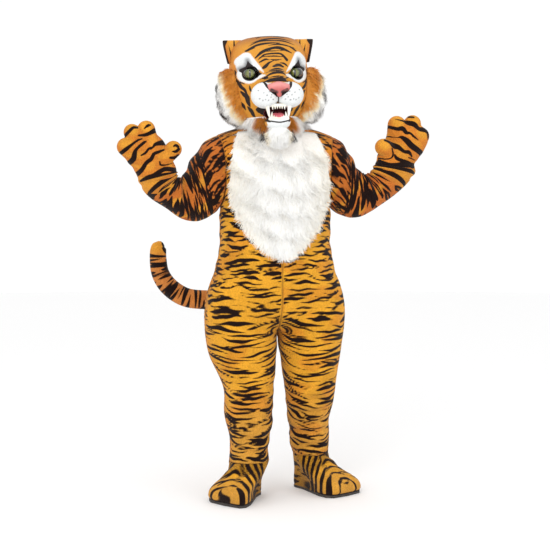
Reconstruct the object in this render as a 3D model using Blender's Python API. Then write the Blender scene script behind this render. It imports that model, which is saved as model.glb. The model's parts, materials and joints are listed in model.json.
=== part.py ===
"""Tiger mascot costume: plush suit with a fur bib, padded head, paw gloves, foot covers and tail.

The suit stands as it is worn and faces -Y. Right and left are the wearer's, so right is -X.
Heights are given above the floor. The origin is at the base of the neck, where the wearer holds it.
"""
import math

import bmesh
import bpy
import numpy as np
from mathutils import Matrix, Vector

# Driving dimensions, in metres
HOLD_HEIGHT = 1.50
CLOTH = 0.003
SEAM_GAP = 0.0003
SEAT_GAP = 0.0004
FACET_CLEARANCE = 0.0020
COLUMNS = 8
NECK_COLUMNS = 3
ARMHOLE_ROWS = 7

CROTCH_HEIGHT = 0.672
CROTCH_X = 0.010
CROTCH_Y = 0.010
RISE_HEIGHT = 0.128
RISE_STEPS = 4
TORSO_HEIGHTS = (0.800, 0.860, 0.915, 0.963, 1.015, 1.070, 1.130, 1.188)
ARMPIT_HEIGHT = 1.188

ARMHOLE_BOTTOM = (0.230, 1.188)
ARMHOLE_TOP = (0.246, 1.476)
ARMHOLE_DEPTH = 0.100
ARMHOLE_SCOOP = 0.020
NECK_POINT = (0.088, 0.005, 1.520)
NECK_FRONT = (0.092, 1.468)
NECK_BACK = (0.085, 1.500)

# Suit body: height, half width, depth in front, depth behind, roundness (0 square, 1 round)
TORSO = (
    (0.672, 0.291, 0.140, 0.165, 0.40),
    (0.760, 0.292, 0.165, 0.195, 0.58),
    (0.850, 0.276, 0.178, 0.203, 0.80),
    (0.920, 0.251, 0.178, 0.186, 0.90),
    (1.000, 0.233, 0.174, 0.162, 0.90),
    (1.090, 0.229, 0.172, 0.150, 0.90),
    (1.188, 0.230, 0.168, 0.150, 0.90),
)
# Centre lines above the armpit: height, depth
CHEST_LINE = ((1.188, 0.168), (1.290, 0.162), (1.390, 0.134), (1.468, 0.092))
SPINE_LINE = ((1.188, 0.150), (1.290, 0.158), (1.400, 0.140), (1.500, 0.085))

# Legs: height, inner x, outer x, centre y, half depth
LEG_RIGHT = (
    (0.150, -0.038, -0.202, -0.070, 0.084),
    (0.195, -0.042, -0.198, -0.066, 0.084),
    (0.250, -0.033, -0.197, -0.058, 0.090),
    (0.300, -0.022, -0.212, -0.048, 0.100),
    (0.350, -0.018, -0.220, -0.036, 0.104),
    (0.400, -0.014, -0.213, -0.026, 0.106),
    (0.440, -0.011, -0.216, -0.019, 0.112),
    (0.500, -0.003, -0.240, -0.008, 0.122),
    (0.570, 0.004, -0.274, 0.004, 0.138),
    (0.630, 0.008, -0.286, 0.010, 0.148),
    (0.672, 0.010, -0.291, 0.012, 0.153),
)
LEG_LEFT = (
    (0.150, 0.087, 0.236, 0.052, 0.082),
    (0.195, 0.073, 0.237, 0.050, 0.084),
    (0.250, 0.071, 0.239, 0.046, 0.088),
    (0.300, 0.062, 0.232, 0.038, 0.092),
    (0.350, 0.055, 0.247, 0.028, 0.099),
    (0.400, 0.050, 0.254, 0.020, 0.104),
    (0.440, 0.043, 0.258, 0.015, 0.110),
    (0.500, 0.034, 0.264, 0.008, 0.120),
    (0.570, 0.024, 0.275, 0.006, 0.134),
    (0.630, 0.015, 0.284, 0.010, 0.146),
    (0.672, 0.010, 0.291, 0.012, 0.153),
)

# Sleeves: inner x, inner height, outer x, outer height, y, half depth
SLEEVE_RIGHT = (
    (-0.290, 1.450, -0.243, 1.166, 0.002, 0.101),
    (-0.326, 1.408, -0.262, 1.152, 0.002, 0.098),
    (-0.362, 1.350, -0.293, 1.134, 0.001, 0.092),
    (-0.383, 1.308, -0.333, 1.125, -0.004, 0.085),
    (-0.392, 1.299, -0.390, 1.136, -0.022, 0.079),
    (-0.401, 1.299, -0.456, 1.179, -0.047, 0.073),
    (-0.408, 1.304, -0.514, 1.214, -0.073, 0.070),
    (-0.413, 1.310, -0.551, 1.250, -0.097, 0.069),
    (-0.418, 1.322, -0.570, 1.297, -0.116, 0.068),
)
SLEEVE_LEFT = (
    (0.276, 1.455, 0.256, 1.163, -0.001, 0.100),
    (0.306, 1.414, 0.289, 1.148, -0.006, 0.094),
    (0.330, 1.366, 0.324, 1.140, -0.013, 0.087),
    (0.350, 1.334, 0.367, 1.150, -0.026, 0.081),
    (0.363, 1.320, 0.422, 1.186, -0.058, 0.075),
    (0.372, 1.322, 0.484, 1.235, -0.094, 0.071),
    (0.380, 1.334, 0.531, 1.285, -0.126, 0.069),
    (0.387, 1.354, 0.556, 1.332, -0.144, 0.068),
)
# Palms beyond the cuff: inner x, inner height, outer x, outer height, y, half depth
PALM_RIGHT = (
    (-0.424, 1.342, -0.586, 1.328, -0.122, 0.062),
    (-0.434, 1.376, -0.614, 1.364, -0.126, 0.057),
    (-0.452, 1.409, -0.628, 1.395, -0.128, 0.054),
    (-0.470, 1.436, -0.622, 1.418, -0.128, 0.050),
    (-0.497, 1.453, -0.598, 1.438, -0.128, 0.035),
)
PALM_LEFT = (
    (0.396, 1.388, 0.564, 1.384, -0.146, 0.062),
    (0.410, 1.417, 0.588, 1.413, -0.150, 0.057),
    (0.426, 1.452, 0.604, 1.446, -0.153, 0.054),
    (0.440, 1.482, 0.602, 1.474, -0.154, 0.050),
    (0.464, 1.499, 0.584, 1.492, -0.154, 0.035),
)
# Fingers and thumb: root x, root height, tip x, tip height, radius
FINGERS_RIGHT = (
    (-0.520, 1.415, -0.538, 1.486, 0.035),
    (-0.556, 1.405, -0.594, 1.474, 0.033),
    (-0.585, 1.385, -0.618, 1.417, 0.036),
)
FINGERS_LEFT = (
    (0.468, 1.450, 0.474, 1.516, 0.037),
    (0.524, 1.455, 0.540, 1.522, 0.035),
    (0.560, 1.440, 0.573, 1.472, 0.037),
)
THUMB_RIGHT = (-0.470, 1.372, -0.434, 1.408, 0.033)
THUMB_LEFT = (0.440, 1.412, 0.410, 1.424, 0.034)
FINGER_Y_RIGHT = -0.132
FINGER_Y_LEFT = -0.158
THUMB_FORWARD = 0.030
GLOVE_WALL = 0.004

# Feet: x, y, direction in degrees from straight ahead, reach of the inner toes, of the outer toes
FOOT_RIGHT = (-0.139, -0.060, 33.0, 0.236, 0.151)
FOOT_LEFT = (0.170, 0.051, 31.0, 0.220, 0.214)
SOLE_THICKNESS = 0.010
FOOT_HEEL = 0.078
FOOT_HALF_WIDTH_HEEL = 0.056
FOOT_HALF_WIDTH_TOE = 0.124
FOOT_SQUARENESS = 0.50
# Foot cover profile: share of the way from the sole's outline to the ankle, height
FOOT_PROFILE = ((0.00, 0.0104), (-0.02, 0.028), (0.04, 0.050), (0.22, 0.070), (0.52, 0.092), (0.85, 0.126))
ANKLE_TUCK = 0.030

# Tail: x, y, height, radius
TAIL_ROUTE = (
    (0.000, 0.2023, 0.832, 0.040),
    (0.000, 0.226, 0.832, 0.041),
    (-0.014, 0.252, 0.825, 0.041),
    (-0.050, 0.270, 0.812, 0.041),
    (-0.110, 0.274, 0.798, 0.041),
    (-0.180, 0.270, 0.789, 0.041),
    (-0.256, 0.264, 0.788, 0.041),
    (-0.328, 0.268, 0.795, 0.041),
    (-0.379, 0.274, 0.817, 0.041),
    (-0.425, 0.279, 0.857, 0.040),
    (-0.453, 0.283, 0.908, 0.038),
    (-0.461, 0.285, 0.969, 0.036),
    (-0.459, 0.285, 1.012, 0.033),
    (-0.453, 0.285, 1.031, 0.020),
)

# Head before it is turned: height, half width, depth in front, depth behind
HEAD = (
    (1.548, 0.116, 0.118, 0.118),
    (1.585, 0.146, 0.140, 0.150),
    (1.635, 0.160, 0.156, 0.168),
    (1.690, 0.164, 0.161, 0.176),
    (1.740, 0.162, 0.159, 0.176),
    (1.785, 0.157, 0.152, 0.169),
    (1.825, 0.148, 0.139, 0.156),
    (1.852, 0.132, 0.119, 0.136),
    (1.869, 0.106, 0.092, 0.109),
    (1.877, 0.070, 0.058, 0.072),
)
HEAD_TOP = 1.880
HEAD_WALL = 0.010
HEAD_COLUMNS = 12
HEAD_PLACE = (-0.018, 0.0, 1.500)
HEAD_ROLL = math.radians(-2.5)
HEAD_TIP_SHARE = 0.12

# Padded and moulded pieces of the face: centre x, y, height, radius across, along, upright
PUFF = (0.050, -0.185, 1.625, 0.056, 0.052, 0.052)
BRIDGE = (0.000, -0.160, 1.690, 0.042, 0.060, 0.056)
NOSE = (0.000, -0.220, 1.644, 0.046, 0.030, 0.034)
JAW = (0.000, -0.172, 1.518, 0.052, 0.046, 0.030)
CHIN_FUR = (0.000, -0.183, 1.468, 0.052, 0.036, 0.042)
TONGUE = (0.000, -0.178, 1.549, 0.026, 0.036, 0.010)
MOUTH = (0.000, -0.158, 1.556, 0.056, 0.034, 0.030)
EYE = (0.090, -0.112, 1.7205, 0.032, 0.030, 0.024)
RUFF = (0.128, -0.014, 1.645, 0.100, 0.078, 0.122)
RUFF_FULLNESS = 0.85
TOOTH_STRIP_UPPER = (0.000, -0.206, 1.571, 0.044, 0.008, 0.007)
TOOTH_STRIP_LOWER = (0.000, -0.203, 1.543, 0.036, 0.007, 0.007)
# Fangs: distance from the middle, y, root height, length, radius
FANG_UPPER = (0.041, -0.203, 1.580, 0.040, 0.008)
FANG_LOWER = (0.030, -0.203, 1.540, 0.026, 0.007)

EAR_BASE = (0.134, 0.004, 1.774)
EAR_LEAN = math.radians(8)
EAR_HEIGHT = 0.097
EAR_HALF_WIDTH = 0.036
EAR_SPREAD = 0.22
EAR_ROUNDING = 0.12
EAR_CUP = 0.026
EAR_WALL = 0.010
EAR_COLUMNS = 8
EAR_ROWS = 6

SKIRT_COLUMNS = 24
SKIRT_FRONT_CLIMB = 0.93
SKIRT_BACK_CLIMB = 0.80
SKIRT_SPREAD = 0.22
SKIRT_CLEARANCE = 0.0008

FUR_DEPTH = 0.022
BIB_EDGE = 0.006
# Bib outline: height, half width
BIB = (
    (0.965, 0.008),
    (1.010, 0.070),
    (1.060, 0.118),
    (1.120, 0.160),
    (1.190, 0.186),
    (1.260, 0.200),
    (1.330, 0.196),
    (1.395, 0.178),
    (1.440, 0.158),
)
BIB_COLUMNS = 5
BIB_SINK = 0.0025
ZIP_WIDTH = 0.024
ZIP_GAP = 0.0009
ZIP_THICKNESS = 0.002

COLOURS = {
    "plush": ((0.62, 0.33, 0.08), 0.9),
    "white_fur": ((0.88, 0.87, 0.84), 0.95),
    "ruff_fur": ((0.70, 0.48, 0.24), 0.95),
    "sole": ((0.05, 0.04, 0.035), 0.7),
    "nose": ((0.72, 0.34, 0.32), 0.35),
    "mouth": ((0.22, 0.02, 0.02), 0.6),
    "tongue": ((0.62, 0.16, 0.17), 0.45),
    "teeth": ((0.90, 0.88, 0.80), 0.3),
    "eye": ((0.20, 0.34, 0.08), 0.12),
    "zip": ((0.05, 0.04, 0.03), 0.8),
}


# Collections, frame and materials

def clear_scene():
    for thing in list(bpy.data.objects):
        bpy.data.objects.remove(thing, do_unlink=True)


def new_collection(name):
    collection = bpy.data.collections.new(name)
    bpy.context.scene.collection.children.link(collection)
    return collection


def new_empty(name, collection, location, parent=None):
    empty = bpy.data.objects.new(name, None)
    empty.location = location
    empty.parent = parent
    collection.objects.link(empty)
    return empty


def new_material(name, look):
    (red, green, blue), roughness = COLOURS[look]
    material = bpy.data.materials.new(name + "_material")
    material.use_nodes = True
    shader = material.node_tree.nodes["Principled BSDF"]
    shader.inputs["Base Color"].default_value = (red, green, blue, 1.0)
    shader.inputs["Roughness"].default_value = roughness
    shader.inputs["Metallic"].default_value = 0.0
    return material


def in_frame(mesh, parent):
    """Lowers a mesh modelled at its height so that its frame's location is its zero."""
    if parent == HEAD_FRAME:
        mesh.transform(Matrix.Translation((0, 0, -HEAD_PLACE[2])))


def new_object(name, mesh, look, parent):
    in_frame(mesh, parent)
    mesh.shade_smooth()
    mesh.materials.append(new_material(name, look))
    thing = bpy.data.objects.new(name, mesh)
    thing.parent = parent
    PARTS.objects.link(thing)
    return thing


def new_cutter(name, mesh, parent):
    in_frame(mesh, parent)
    thing = bpy.data.objects.new(name, mesh)
    thing.parent = parent
    thing.hide_render = True
    thing.display_type = "WIRE"
    CUTTERS.objects.link(thing)
    return thing


def boolean(thing, other, operation):
    modifier = thing.modifiers.new(operation.lower() + "_" + other.name, "BOOLEAN")
    modifier.operation = operation
    modifier.object = other
    modifier.solver = "EXACT"


# Reading tables and joining rings of points

def read_table(table, key):
    """Smooth values of a table's other columns where its first column is key."""
    rows = sorted(table)
    keys = [row[0] for row in rows]
    place = min(max(key, keys[0]), keys[-1])
    index = min(max(int(np.searchsorted(keys, place)) - 1, 0), len(keys) - 2)
    before, here = rows[max(index - 1, 0)], rows[index]
    there, after = rows[index + 1], rows[min(index + 2, len(rows) - 1)]
    span = there[0] - here[0]
    t = (place - here[0]) / span
    values = []
    for column in range(1, len(here)):
        slope_here = (there[column] - before[column]) / (there[0] - before[0]) * span
        slope_there = (after[column] - here[column]) / (after[0] - here[0]) * span
        values.append(
            (2 * t**3 - 3 * t**2 + 1) * here[column]
            + (t**3 - 2 * t**2 + t) * slope_here
            + (3 * t**2 - 2 * t**3) * there[column]
            + (t**3 - t**2) * slope_there
        )
    return values


def mesh_from_triangles(name, points, triangles):
    """Mesh whose triangles are turned so that they face out."""
    volume = sum(points[a].dot(points[b].cross(points[c])) for a, b, c in triangles)
    if volume < 0:
        triangles = [(a, c, b) for a, b, c in triangles]
    mesh = bpy.data.meshes.new(name)
    mesh.from_pydata([tuple(point) for point in points], [], triangles)
    mesh.update()
    return mesh


def grid_triangles(rows, columns, wrap, first=0, flip=False, fold=0):
    """Two triangles a cell; before the fold column the cells are split the other way."""
    triangles = []
    for row in range(rows - 1):
        for column in range(columns if wrap else columns - 1):
            beside = (column + 1) % columns
            a = first + row * columns + column
            b = first + row * columns + beside
            c = first + (row + 1) * columns + beside
            d = first + (row + 1) * columns + column
            pair = [(a, b, d), (b, c, d)] if column < fold else [(a, b, c), (a, c, d)]
            triangles += [(p, r, q) for p, q, r in pair] if flip else pair
    return triangles


def strip_triangles(points, outer_loop, inner_loop):
    """Faces across a wall's edge, split from its lower end so that both sides of a seam agree."""
    triangles = []
    count = len(outer_loop)
    for index in range(count):
        beside = (index + 1) % count
        out_here, out_next = outer_loop[index], outer_loop[beside]
        in_here, in_next = inner_loop[index], inner_loop[beside]
        if points[out_here].z < points[out_next].z:
            triangles += [(out_here, in_here, in_next), (out_here, in_next, out_next)]
        else:
            triangles += [(out_here, in_here, out_next), (in_here, in_next, out_next)]
    return triangles


def wall_mesh(name, outer, inner, wrap, fold=0):
    """Closed wall between two grids of points, open where the grid ends."""
    rows, columns = len(outer), len(outer[0])
    offset = rows * columns
    points = [point for row in outer for point in row] + [point for row in inner for point in row]
    triangles = grid_triangles(rows, columns, wrap, fold=fold)
    triangles += grid_triangles(rows, columns, wrap, offset, flip=True, fold=fold)
    first = list(range(columns))
    last = list(range((rows - 1) * columns, rows * columns))
    if wrap:
        rims = [first, last[::-1]]
    else:
        right_edge = [row * columns + columns - 1 for row in range(rows)]
        left_edge = [row * columns for row in range(rows)]
        rims = [first + right_edge[1:] + last[-2::-1] + left_edge[-2:0:-1]]
    for loop in rims:
        triangles += strip_triangles(points, loop, [index + offset for index in loop])
    return mesh_from_triangles(name, points, triangles)


def solid_mesh(name, rings, start, end):
    """Closed solid through rings of points, with a centre point at each end."""
    columns = len(rings[0])
    points = [point for ring in rings for point in ring] + [start, end]
    triangles = grid_triangles(len(rings), columns, True)
    first_centre, last_centre = len(points) - 2, len(points) - 1
    last = (len(rings) - 1) * columns
    for column in range(columns):
        beside = (column + 1) % columns
        triangles.append((beside, column, first_centre))
        triangles.append((last + column, last + beside, last_centre))
    return mesh_from_triangles(name, points, triangles)


def point_key(point):
    return tuple(round(value * 1e5) for value in point)


def shared_normals(grids):
    """One outward direction for each place, averaged over every piece that meets there."""
    sums = {}
    for grid, wrap in grids:
        rows, columns = len(grid), len(grid[0])
        points = [point for row in grid for point in row]
        for a, b, c in grid_triangles(rows, columns, wrap):
            across = (points[b] - points[a]).cross(points[c] - points[a])
            for corner in (a, b, c):
                key = point_key(points[corner])
                sums[key] = sums.get(key, Vector()) + across
    return {key: total.normalized() for key, total in sums.items()}


def pulled_back(grid, wrap, corner_row=None):
    """The grid's points with its edges drawn in by half a seam gap.

    corner_row is a row where the last column turns a corner, such as the armpit.
    """
    rows, columns = len(grid), len(grid[0])
    result = []
    for row in range(rows):
        line = []
        for column in range(columns):
            point = grid[row][column]
            shift = Vector()
            if row in (0, rows - 1):
                shift += (grid[1 if row == 0 else rows - 2][column] - point).normalized()
            if not wrap and column in (0, columns - 1):
                shift += (grid[row][1 if column == 0 else columns - 2] - point).normalized()
            if row == corner_row and column == columns - 1:
                shift += (grid[row - 1][column] - point).normalized()
            line.append(point + shift * SEAM_GAP * 0.6)
        result.append(line)
    return result


def cloth_wall(name, grid, normals, wrap, corner_row=None):
    outer = pulled_back(grid, wrap, corner_row)
    inner = []
    for row, line in enumerate(grid):
        inner.append([outer[row][column] - normals[point_key(point)] * CLOTH for column, point in enumerate(line)])
    return wall_mesh(name, outer, inner, wrap), outer, inner


# Suit

def torso_point(side, height, share, back):
    """Point round half of the body: share 0 at the centre line, 1 at the side seam."""
    half_width, front_depth, back_depth, roundness = read_table(TORSO, height)
    turn = share * math.pi / 2
    depth = back_depth if back else -front_depth
    across = side * half_width * math.sin(turn) ** 0.94
    return Vector((across, depth * max(0.0, math.cos(turn)) ** roundness, height))


def leg_point(side, height, share, back):
    """Point round a leg: share 0 at the inseam, 1 at the side seam."""
    inner_x, outer_x, centre_y, half_depth = read_table(LEG_RIGHT if side < 0 else LEG_LEFT, height)
    turn = (share - 0.5) * math.pi
    centre_x = (inner_x + outer_x) / 2
    half_width = abs(outer_x - inner_x) / 2
    depth = half_depth if back else -half_depth
    return Vector((centre_x + side * half_width * math.sin(turn), centre_y + depth * math.cos(turn), height))


def rise_point(side, climb, share, back):
    """Point between crotch (climb 0) and hip (climb 1), where the legs join the body."""
    fall = math.cos(climb * math.pi / 2)
    height = CROTCH_HEIGHT + RISE_HEIGHT * (1 - fall)
    outward = min(1.0, 2 * share)
    blend = 1 - math.sqrt(max(0.0, 1 - fall * fall))
    blend += (fall - blend) * outward * outward * (3 - 2 * outward)
    body = torso_point(side, height, share, back)
    leg = leg_point(side, CROTCH_HEIGHT, share, back)
    leg.z = height
    point = body.lerp(leg, blend)
    if share == 0:
        point.x = CROTCH_X * blend
        if climb == 0:
            point.y = CROTCH_Y
    return point


def armhole_point(side, climb, back):
    turn = climb * math.pi
    width = ARMHOLE_BOTTOM[0] + (ARMHOLE_TOP[0] - ARMHOLE_BOTTOM[0]) * climb - ARMHOLE_SCOOP * math.sin(turn)
    height = ARMHOLE_BOTTOM[1] + (ARMHOLE_TOP[1] - ARMHOLE_BOTTOM[1]) * (1 - math.cos(turn)) / 2
    depth = ARMHOLE_DEPTH * math.sin(turn)
    return Vector((side * width, depth if back else -depth, height))


def top_edge_point(side, share, back):
    """Neckline from the centre to the neck point, then the shoulder seam to the armhole."""
    split = NECK_COLUMNS / COLUMNS
    neck_x, neck_y, neck_height = NECK_POINT
    if share <= split:
        centre_depth, centre_height = NECK_BACK if back else NECK_FRONT
        turn = share / split * math.pi / 2
        y = neck_y + ((centre_depth if back else -centre_depth) - neck_y) * math.cos(turn)
        height = neck_height + (centre_height - neck_height) * math.cos(turn)
        return Vector((side * neck_x * math.sin(turn), y, height))
    along = (share - split) / (1 - split)
    tip = armhole_point(side, 1.0, back)
    tip.y = 0.0
    neck = Vector((side * neck_x, neck_y, neck_height))
    point = neck.lerp(tip, along)
    point.z += 0.006 * math.sin(along * math.pi)
    return point


def yoke_point(side, share, climb, back):
    """Point above the armpit: a patch between centre line, armhole, armpit level and top edge."""
    low = torso_point(side, ARMPIT_HEIGHT, share, back)
    high = top_edge_point(side, share, back)
    line = SPINE_LINE if back else CHEST_LINE
    height = line[0][0] + (line[-1][0] - line[0][0]) * climb
    depth = read_table(line, height)[0]
    inner = Vector((0, depth if back else -depth, height))
    outer = armhole_point(side, climb, back)
    if climb in (0.0, 1.0):
        outer.y = 0.0
    corners = (
        torso_point(side, ARMPIT_HEIGHT, 0, back) * (1 - share) * (1 - climb)
        + torso_point(side, ARMPIT_HEIGHT, 1, back) * share * (1 - climb)
        + top_edge_point(side, 0, back) * (1 - share) * climb
        + top_edge_point(side, 1, back) * share * climb
    )
    return low * (1 - climb) + high * climb + inner * (1 - share) + outer * share - corners


def suit_panel(side, back):
    """Rows of points from ankle to shoulder, each from the inner edge to the side seam."""
    shares = [column / COLUMNS for column in range(COLUMNS + 1)]
    leg_heights = [row[0] for row in (LEG_RIGHT if side < 0 else LEG_LEFT)][:-1]
    rows = [[leg_point(side, height, share, back) for share in shares] for height in leg_heights]
    for step in range(RISE_STEPS):
        rows.append([rise_point(side, step / RISE_STEPS, share, back) for share in shares])
    for height in TORSO_HEIGHTS:
        rows.append([torso_point(side, height, share, back) for share in shares])
    for step in range(1, ARMHOLE_ROWS + 1):
        rows.append([yoke_point(side, share, step / ARMHOLE_ROWS, back) for share in shares])
    for row in rows[:len(leg_heights)]:
        row[0].y = row[-1].y = (row[0].y + row[-1].y) / 2
    return rows


def ring_between(inner_x, inner_height, outer_x, outer_height, y, half_depth, count):
    """Ring that starts at its outer point and turns through the front to its inner point."""
    inner = Vector((inner_x, y, inner_height))
    outer = Vector((outer_x, y, outer_height))
    centre = (inner + outer) / 2
    ring = []
    for index in range(count):
        turn = index / count * 2 * math.pi
        ring.append(centre + (outer - centre) * math.cos(turn) + Vector((0, -half_depth * math.sin(turn), 0)))
    return ring


def sleeve_grid(front, back, table):
    """Rings from the armhole to the wrist; each starts at the underarm seam."""
    rows = len(front)
    climb = [front[rows - 1 - ARMHOLE_ROWS + step][-1] for step in range(ARMHOLE_ROWS + 1)]
    descent = [back[rows - 1 - step][-1] for step in range(1, ARMHOLE_ROWS)]
    rings = [[point.copy() for point in climb + descent]]
    for row in table:
        rings.append(ring_between(*row, count=2 * ARMHOLE_ROWS))
    return rings


def build_suit():
    panels = {(side, back): suit_panel(side, back) for side in (-1, 1) for back in (False, True)}
    sleeves = {
        -1: sleeve_grid(panels[-1, False], panels[-1, True], SLEEVE_RIGHT),
        1: sleeve_grid(panels[1, False], panels[1, True], SLEEVE_LEFT),
    }
    facing = {}
    for (side, back), grid in panels.items():
        facing[side, back] = grid if (side > 0) != back else [list(reversed(row)) for row in grid]
    for side, rings in sleeves.items():
        facing[side] = rings if side < 0 else [list(reversed(ring)) for ring in rings]
    grids = [(grid, not isinstance(key, tuple)) for key, grid in facing.items()]
    normals = shared_normals(grids)
    made = {}
    for (side, back), grid in panels.items():
        name = ("back_" if back else "front_") + SIDE_NAMES[side]
        armpit_row = len(grid) - 1 - ARMHOLE_ROWS
        mesh, outer, inner = cloth_wall(name, grid, normals, wrap=False, corner_row=armpit_row)
        new_object(name, mesh, "plush", STAND)
        made[side, back] = (grid, outer, inner)
    for side, rings in sleeves.items():
        name = "sleeve_" + SIDE_NAMES[side]
        mesh, outer, inner = cloth_wall(name, rings, normals, wrap=True)
        new_object(name, mesh, "plush", STAND)
        made[side] = (rings, outer, inner)
    return made, normals


def along_row(row, share):
    """Point on the straight pieces between a row's points, at a share of the row's count."""
    place = share * (len(row) - 1)
    index = min(int(place), len(row) - 2)
    return row[index].lerp(row[index + 1], place - index)


def share_at_width(row, half_width):
    low, high = 0.0, 1.0
    for _ in range(24):
        middle = (low + high) / 2
        if abs(along_row(row, middle).x) < half_width:
            low = middle
        else:
            high = middle
    return low


def build_bib(suit, suit_normals):
    """Fur bib made from the fronts' own rows of points, moved out; it thins to its edge."""
    right, left = suit[-1, False][0], suit[1, False][0]
    first = next(index for index, row in enumerate(right) if row[0].z > BIB[0][0] - 0.004)
    chest = [right_row[:0:-1] + left_row for right_row, left_row in zip(right[first - 1:], left[first - 1:])]
    chest_outer = [[point + suit_normals[point_key(point)] * SEAT_GAP for point in row] for row in chest]
    chest_inner = [[point - suit_normals[point_key(point)] * BIB_SINK * 4 for point in row] for row in chest]
    form = wall_mesh("chest_form", chest_outer, chest_inner, wrap=False, fold=COLUMNS)
    rows = []
    for right_row, left_row in list(zip(right, left))[first:-1]:
        half_width = read_table(BIB, right_row[0].z)[0]
        shares = [share_at_width(right_row, half_width) * step / BIB_COLUMNS for step in range(BIB_COLUMNS + 1)]
        rows.append(
            [along_row(right_row, share) for share in reversed(shares[1:])]
            + [along_row(left_row, share) for share in shares]
        )
    normals = shared_normals([(rows, False)])
    under, over = [], []
    last = len(rows) - 1
    for index, row in enumerate(rows):
        low, high = [], []
        for column, point in enumerate(row):
            across = column / BIB_COLUMNS - 1
            rim = (1 - across**4) * (1 - (2 * index / last - 1) ** 6)
            out = normals[point_key(point)]
            low.append(point - out * BIB_SINK)
            high.append(point + out * (BIB_EDGE + (FUR_DEPTH - BIB_EDGE) * rim))
        under.append(low)
        over.append(high)
    mesh = wall_mesh("belly_fur", over, under, wrap=False, fold=BIB_COLUMNS)
    bib = new_object("belly_fur", mesh, "white_fur", STAND)
    boolean(bib, new_cutter("chest_form", form, STAND), "DIFFERENCE")


def build_zip(suit):
    """Zip tape over the centre back seam, from the neck to above the tail."""
    right, left = suit[-1, True][0], suit[1, True][0]
    first = len(right) - ARMHOLE_ROWS - 3
    under, over = [], []
    for row in range(first, len(right)):
        centre = right[row][0]
        low, high = [], []
        for grid, share in ((right, 1.0), (right, 0.0), (left, 1.0)):
            reach = (grid[row][1] - centre).normalized() * (ZIP_WIDTH / 2)
            point = centre + reach * share
            low.append(point + Vector((0, ZIP_GAP, 0)))
            high.append(point + Vector((0, ZIP_GAP + ZIP_THICKNESS, 0)))
        under.append(low)
        over.append(high)
    new_object("back_zip", wall_mesh("back_zip", over, under, wrap=False), "zip", STAND)


# Gloves

def capsule_mesh(name, root, tip, radius, segments=12, rings=8):
    """Round-ended solid from a root to a tip."""
    shape = bmesh.new()
    bmesh.ops.create_uvsphere(shape, u_segments=segments, v_segments=rings, radius=radius)
    axis = tip - root
    turn = Vector((0, 0, 1)).rotation_difference(axis).to_matrix()
    for vertex in shape.verts:
        if vertex.co.z > 0:
            vertex.co.z += axis.length
        vertex.co = turn @ vertex.co + root
    mesh = bpy.data.meshes.new(name)
    shape.to_mesh(mesh)
    shape.free()
    return mesh


def grown_rings(rings, amount):
    result = []
    for ring in rings:
        centre = sum(ring, Vector()) / len(ring)
        result.append([centre + (point - centre) * (1 + amount / (point - centre).length) for point in ring])
    return result


def build_glove(side, suit, palm_table, fingers, thumb, finger_y):
    """Hollow palm whose cuff lies inside the sleeve, with stuffed fingers and thumb seated on it."""
    name = SIDE_NAMES[side]
    sleeve_inner = suit[side][2]
    count = 2 * ARMHOLE_ROWS
    cuff = []
    for ring in sleeve_inner[-2:]:
        centre = sum(ring, Vector()) / len(ring)
        cuff.append([point + (centre - point).normalized() * SEAT_GAP for point in ring])
    rings = cuff + [ring_between(*row, count=count) for row in palm_table]
    inner = [[*ring] for ring in grown_rings(rings, -GLOVE_WALL)]
    crown = sum(rings[-1], Vector()) / count
    rise = (crown - sum(rings[-2], Vector()) / count).normalized()
    outer_top = crown + rise * 0.008
    inner_top = crown - rise * GLOVE_WALL
    inner[-1] = [point - rise * GLOVE_WALL for point in inner[-1]]
    columns = count
    rows = len(rings)
    offset = rows * columns
    points = [p for ring in rings for p in ring] + [p for ring in inner for p in ring] + [outer_top, inner_top]
    triangles = grid_triangles(rows, columns, True)
    triangles += grid_triangles(rows, columns, True, offset, flip=True)
    triangles += strip_triangles(points, list(range(columns)), list(range(offset, offset + columns)))
    last = offset - columns
    for column in range(columns):
        beside = (column + 1) % columns
        triangles.append((last + column, last + beside, len(points) - 2))
        triangles.append((offset + last + beside, offset + last + column, len(points) - 1))
    mesh = mesh_from_triangles("palm_" + name, points, triangles)
    new_object("palm_" + name, mesh, "plush", STAND)
    form = grown_rings(rings[1:], SEAT_GAP)
    palm_form = new_cutter(
        "palm_form_" + name,
        solid_mesh("palm_form_" + name, form, sum(form[0], Vector()) / count, outer_top + rise * SEAT_GAP),
        STAND,
    )
    roots = []
    for index, (root_x, root_height, tip_x, tip_height, radius) in enumerate(fingers):
        root = Vector((root_x, finger_y, root_height))
        tip = Vector((tip_x, finger_y, tip_height))
        roots.append(capsule_mesh("finger_" + name + str(index), root, tip, radius))
    group = new_object("fingers_" + name, roots[0], "plush", STAND)
    for index, mesh in enumerate(roots[1:]):
        boolean(group, new_cutter("finger_form_" + name + str(index), mesh, STAND), "UNION")
    boolean(group, palm_form, "DIFFERENCE")
    root_x, root_height, tip_x, tip_height, radius = thumb
    root = Vector((root_x, finger_y - THUMB_FORWARD / 2, root_height))
    tip = Vector((tip_x, finger_y - THUMB_FORWARD, tip_height))
    stub = new_object("thumb_" + name, capsule_mesh("thumb_" + name, root, tip, radius), "plush", STAND)
    boolean(stub, palm_form, "DIFFERENCE")


# Feet

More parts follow.
